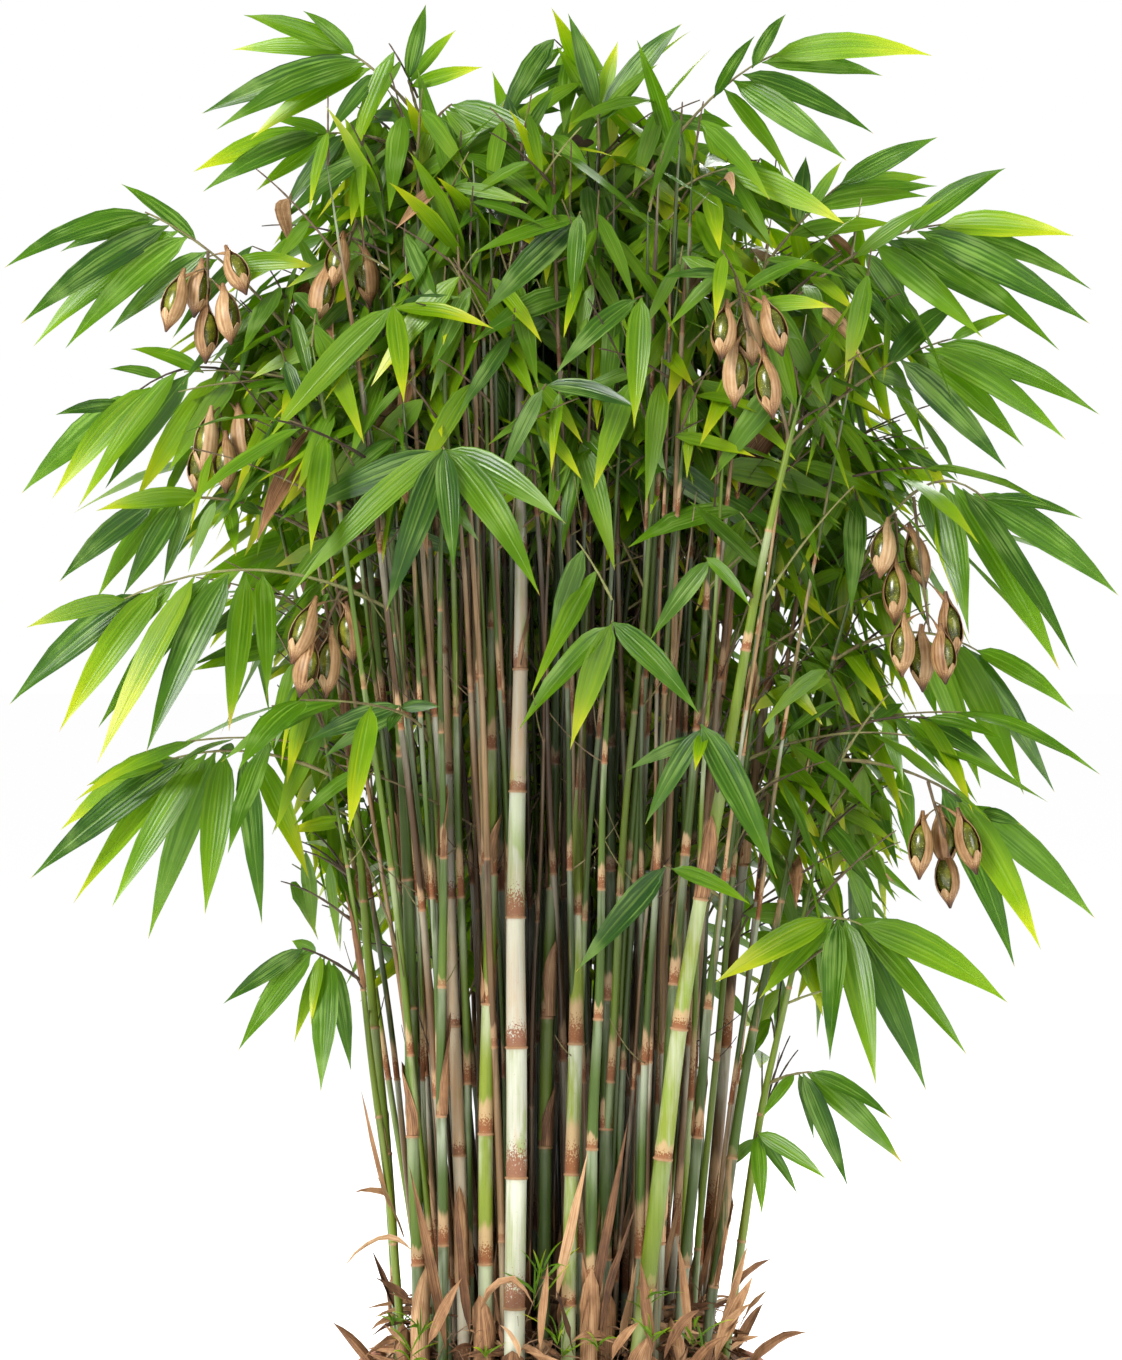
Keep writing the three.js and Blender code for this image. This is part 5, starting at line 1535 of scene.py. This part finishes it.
# Fruits: a glossy green body inside a papery husk that opens on one side and ends in a beak.
# Its rows run from the neck to the beak: share of the fruit's length, radius, and how far it wraps each way.
fruitForm = dict(
  husk=((-0.5, 1.9, 3.1), (-0.4, 3.6, 3.05), (-0.31, 7, 2.95), (-0.22, 11.4, 2.7), (-0.12, 14.6, 2.5),
        (0, 16.2, 2.4), (0.11, 16.2, 2.42), (0.2, 14.8, 2.52), (0.28, 11.8, 2.7), (0.35, 8, 2.9),
        (0.42, 4.2, 3.0), (0.5, 0.9, 3.1)),
  lobe=((0.17, 14.6, 0.08), (0.21, 14, 0.3), (0.25, 12.8, 0.45), (0.3, 10.4, 0.6), (0.35, 7.4, 0.8),
        (0.4, 4.2, 1.1), (0.45, 1.2, 1.6)),
  across=12, wall=0.7, flare=0.07, plump=1.08, drawn=1.1, opening=0.85,
  body=15.2, bodyLength=0.32, bodyAt=0.03, bodyNarrowing=0.16, stemRadii=(2.6, 1.7),
  stalkRadii=(1.5, 1.2, 1.2, 1.4), neckRadii=(1.1, 1.7, 2.3, 2.8, 3.3, 3.7), beakRadii=(2.4, 1.6, 0.8, 0.2),
)


@functools.cache
def huskShape(part):
    rows = fruitForm[part]
    bm = bmesh.new()
    bmesh.ops.create_grid(bm, x_segments=fruitForm["across"], y_segments=len(rows) - 1, size=1)
    for vertex in bm.verts:
        along, radius, wrap = rows[round((vertex.co.y + 1) / 2 * (len(rows) - 1))]
        turn = vertex.co.x * wrap
        reach = radius * fruitForm["plump"] * (1 + fruitForm["flare"] * abs(vertex.co.x) ** 5)
        vertex.co = (reach * math.cos(turn), reach * math.sin(turn), along * rule["fruitLength"])
    bmesh.ops.recalc_face_normals(bm, faces=bm.faces[:])
    bmesh.ops.solidify(bm, geom=bm.faces[:], thickness=fruitForm["wall"])
    return shapeOf(bm)


@functools.cache
def bodyShape():
    bm = bmesh.new()
    bmesh.ops.create_uvsphere(bm, u_segments=14, v_segments=10, radius=1)
    for vertex in bm.verts:
        narrow = 1 - fruitForm["bodyNarrowing"] * vertex.co.z
        vertex.co.x *= fruitForm["body"] * narrow
        vertex.co.y *= fruitForm["body"] * narrow
        vertex.co.z = (fruitForm["bodyAt"] + vertex.co.z * fruitForm["bodyLength"]) * rule["fruitLength"]
    return shapeOf(bm)


def placeFruit(piece, shape, middle, way, size, turn, finish, tone):
    stretch = fruitForm["drawn"] * size / rule["fruitLength"]
    side = np.array(squareTo(way, ahead)[:])
    other = np.cross(np.array(way[:]), side)
    x, y, z = shape["points"].T
    x, y = x * math.cos(turn) - y * math.sin(turn), x * math.sin(turn) + y * math.cos(turn)
    place = np.array(middle[:]) + np.outer(z * stretch, way) + np.outer(x, side) + np.outer(y, other)
    around = np.arctan2(y, x) / (2 * math.pi)
    spots = np.stack([around, z * mm], axis=1)
    darker = 0.55 * np.interp(z, (30, 44), (0, 1)) + 0.25 * np.interp(z, (-46, -30), (1, 0))
    addShape(piece, shape, place, finish, spots, tone=tone - darker, along=np.clip(z / 46, 0, 1))


def fruitPlaces(bunch, curve, forward):
    random = randomStream(len(bunch["spray"]) * 31 + len(bunch["fruits"]))
    hub = onAxis(curve, rule["twigStations"], bunch["along"])
    middles = [seen(x, y, hub.y - forward + (1 if k % 2 else -1) * random(15, 23))
               for k, (x, y) in enumerate(bunch["fruits"])]
    end = sum(middles, Vector()) / len(middles) + up * (0.2 * rule["fruitLength"])
    fruits = []
    for k, middle in enumerate(middles):
        way = ((middle - hub).normalized() * 0.5 - up * 0.5).normalized()
        size = rule["fruitLength"] * random(0.88, 1.08)
        neck = middle - way * (0.4 * size)
        below = (hub.z - neck.z - rule["stalkRise"]) / (hub.z - end.z)
        start = hub.lerp(end, min(0.94, max(0.2, below)) - 0.03 * k)
        fruits.append(dict(middle=middle, way=way, size=size, neck=neck, start=start))
    return hub, end, fruits


def makeBunches():
    for number, bunch in enumerate(fruitBunches, 1):
        name = f"fruit_bunch_{number}"
        curve = twigCurves[bunch["spray"]]
        tree = cornerTree(name)

        def gap(forward):
            return sum(awayFrom(tree, fruit["middle"] + fruit["way"] * (0.5 * fruit["size"]))
                       for fruit in fruitPlaces(bunch, curve, forward)[2])
        hub, end, fruits = fruitPlaces(bunch, curve, min(rule["forwards"], key=gap))
        random = randomStream(400 + number)
        piece = newPiece(f"fruits_and_husks_{number}", "fruit", [fruitHusk, greenFruit, twigBark], name)
        bend = (hub + end) / 2 + Vector((random(-6, 6), random(-4, 4), 0))
        t = np.linspace(0, 1, 8)
        radii = np.interp(t, (0, 1), fruitForm["stemRadii"])
        addTube(piece, alongArc((hub, bend, end), t), radii, 8, twigBark, tone=0.4)
        for fruit in fruits:
            start, neck, way, size = fruit["start"], fruit["neck"], fruit["way"], fruit["size"]
            stalk = (start, start.lerp(neck, 0.6) + way * -4, neck + way * 3)
            thin, thick = alongArc(stalk, np.linspace(0, 0.5, 4)), alongArc(stalk, np.linspace(0.42, 1, 6))
            addTube(piece, thin, fruitForm["stalkRadii"], 6, twigBark, tone=0.5)
            addTube(piece, thick, fruitForm["neckRadii"], 8, fruitHusk, tone=np.linspace(0.42, 0.55, 6))
            aside = random(-0.35, 0.35)
            turn = aside + (math.pi + fruitForm["opening"] if random(0, 1) < 0.5 else -fruitForm["opening"])
            tone = random(0.4, 0.75)
            placeFruit(piece, bodyShape(), fruit["middle"], way, size, 0, greenFruit, 0.5)
            placeFruit(piece, huskShape("husk"), fruit["middle"], way, size, turn, fruitHusk, tone)
            placeFruit(piece, huskShape("lobe"), fruit["middle"] + way * 1.5, way, size,
                       turn + math.pi + random(-0.3, 0.3), fruitHusk, tone + 0.12)
            beak = fruit["middle"] + way * (0.47 * size)
            points = [beak - way * 7, beak, beak + way * (0.03 * size), beak + way * (0.06 * size)]
            addTube(piece, points, fruitForm["beakRadii"], 6, fruitHusk, tone=0.05)
        finishPiece(piece)
    print("fruit bunches made")


makeBunches()


# The clay pot, turned from its outline, with four drain holes, and the soil in it.
potForm = dict(
  height=370, base=222, neck=292, rim=312, rimHeight=58, wall=15, floor=18, roll=7, groove=2.2,
  steps=128, drains=4, drainRadius=10, drainCircle=120,
)


def turned(outline, steps):
    bm = bmesh.new()
    line = [bm.verts.new((radius * mm, 0, height * mm)) for radius, height in outline]
    edges = [bm.edges.new(pair) for pair in zip(line, line[1:])]
    bmesh.ops.spin(bm, geom=[*line, *edges], cent=(0, 0, 0), axis=(0, 0, 1), angle=2 * math.pi, steps=steps,
                   use_merge=True)
    bmesh.ops.remove_doubles(bm, verts=bm.verts[:], dist=1e-5)
    return bm


def meshPiece(name, bm, finish, node, smoothTo):
    bmesh.ops.recalc_face_normals(bm, faces=bm.faces[:])
    return dressed(name, meshOf(name, bm), [finish], [node], smoothTo)


def makePot():
    form = potForm
    base, neck, rim, wall, roll = (form[key] for key in ("base", "neck", "rim", "wall", "roll"))
    top, floor, band = form["height"], form["floor"], form["height"] - form["rimHeight"]
    outline = [(0, 0), (base - 6, 0), (base - 1.5, 1.5), (base, 6), (neck - 6, band - 36),
               (neck - form["groove"] - 5, band - 30), (neck - 4, band - 24), (neck, band - 2),
               (neck + 4, band), (rim - 6, band + 1), (rim - 1.5, band + 4), (rim, band + roll + 3),
               (rim, top - roll - 2), (rim - 2, top - 3), (rim - roll, top), (rim - 13, top),
               (neck + 3, top - 2.5), (neck + 1, top - roll), (neck - wall, band),
               (base - wall + 4, floor + 5), (base - wall - 3, floor), (0, floor)]
    pot = meshPiece("clay_pot", turned(outline, form["steps"]), terracottaClay, "pot", 40)
    bm = bmesh.new()
    for k in range(form["drains"]):
        turn = (k + 0.5) * 2 * math.pi / form["drains"]
        place = flatWay(turn) * form["drainCircle"] * mm
        bmesh.ops.create_cone(bm, cap_ends=True, segments=24, radius1=form["drainRadius"] * mm,
                              radius2=form["drainRadius"] * mm, depth=0.1, matrix=Matrix.Translation(place))
    cutter = asObject("drain_cutter", meshOf("drain_cutter", bm))
    drains = pot.modifiers.new("drains", "BOOLEAN")
    drains.operation, drains.object, drains.solver = "DIFFERENCE", cutter, "EXACT"
    bpy.context.view_layer.update()
    cut = bpy.data.meshes.new_from_object(pot.evaluated_get(bpy.context.evaluated_depsgraph_get()))
    pot.modifiers.clear()
    pot.data = cut
    bpy.data.objects.remove(cutter)
    print("pot made,", len(cut.polygons), "faces")


# The soil: its clearance in the pot, its height where it meets the clay, and how rough its top is.
soilForm = dict(
  gap=0.8, edge=354, shoulder=258, steps=160, rings=34, rough=4.5, roughAbove=0.345, roughWithin=284,
)


def makeSoil():
    form = soilForm
    band, floor = potForm["height"] - potForm["rimHeight"], potForm["floor"] + 0.4
    inner, low = potForm["neck"] - potForm["wall"], potForm["base"] - potForm["wall"]
    outline = [(0, floor), (low - form["gap"] - 4, floor), (inner - form["gap"], band),
               (inner + 11, form["edge"])]
    for k in range(form["rings"] + 1):
        reach = form["shoulder"] * (1 - k / form["rings"])
        outline.append((reach, soilHeight(reach)))
    bm = turned(outline, form["steps"])
    for vertex in bm.verts:
        reach = math.hypot(vertex.co.x, vertex.co.y) / mm
        if vertex.co.z > form["roughAbove"] and reach < form["roughWithin"]:
            lumps = noise.noise(vertex.co * 42) + 0.6 * noise.noise(vertex.co * 110)
            vertex.co.z += form["rough"] * mm * (lumps - 0.2) * min(1, (form["roughWithin"] - reach) / 14)
    meshPiece("potting_soil_top", bm, pottingSoil, "soil", 70)
    print("soil made")


makePot()
makeSoil()


# The pale room, the soft lights and the camera at the photograph's place.
studio = dict(
  floor=(0.99, 0.99, 0.99), reach=400, farthest=900, cameraLens=18 / 0.17, skyLight=1.0,
  reflectedSky=0.28, lit=1.3,
  lights=(("keyLight", (-3.4, -4.2, 4.4), 2.2, 480), ("fillLight", (4.4, -3.4, 2.8), 2.6, 120),
          ("backLight", (0.6, 4.6, 4.2), 2.6, 260)),
)


def makeStudio():
    bm = bmesh.new()
    bmesh.ops.create_circle(bm, cap_ends=True, segments=96, radius=studio["reach"])
    floor = asObject("studio_floor", meshOf("studio_floor", bm))
    material, tree = newFinish("pale_floor")
    closeFinish(tree, surface(tree, (*studio["floor"], 1), 0.9, Specular_IOR_Level=0))
    floor.data.materials.append(material)
    for name, place, size, power in studio["lights"]:
        light = bpy.data.lights.new(name, "AREA")
        light.shape, light.size, light.energy = "DISK", size, power
        lamp = asObject(name, light)
        lamp.location = place
        way = Vector((0, 0, studio["lit"])) - Vector(place)
        lamp.rotation_euler = way.to_track_quat("-Z", "Y").to_euler()
    world = bpy.data.worlds.new("pale_room")
    world.use_nodes = True
    tree = world.node_tree
    sky = tree.nodes["Background"]
    sky.inputs["Color"].default_value = (1, 1, 1, 1)
    isReflected = node(tree, "LightPath", output="Is Glossy Ray")
    strength = spanned(isReflected, studio["skyLight"], studio["reflectedSky"])
    tree.links.new(strength.socket, sky.inputs["Strength"])
    bpy.context.scene.world = world
    bpy.context.scene.view_settings.view_transform = "Standard"
    camera = asObject("photo_camera", bpy.data.cameras.new("photo_camera"))
    camera.location = (0, -measuredView["eyeDistance"] * mm, measuredView["eyeHeight"] * mm)
    camera.rotation_euler = (math.pi / 2, 0, 0)
    camera.data.sensor_width, camera.data.lens = 36, studio["cameraLens"]
    camera.data.clip_end = studio["farthest"]
    bpy.context.scene.camera = camera
    print("studio made")


makeStudio()
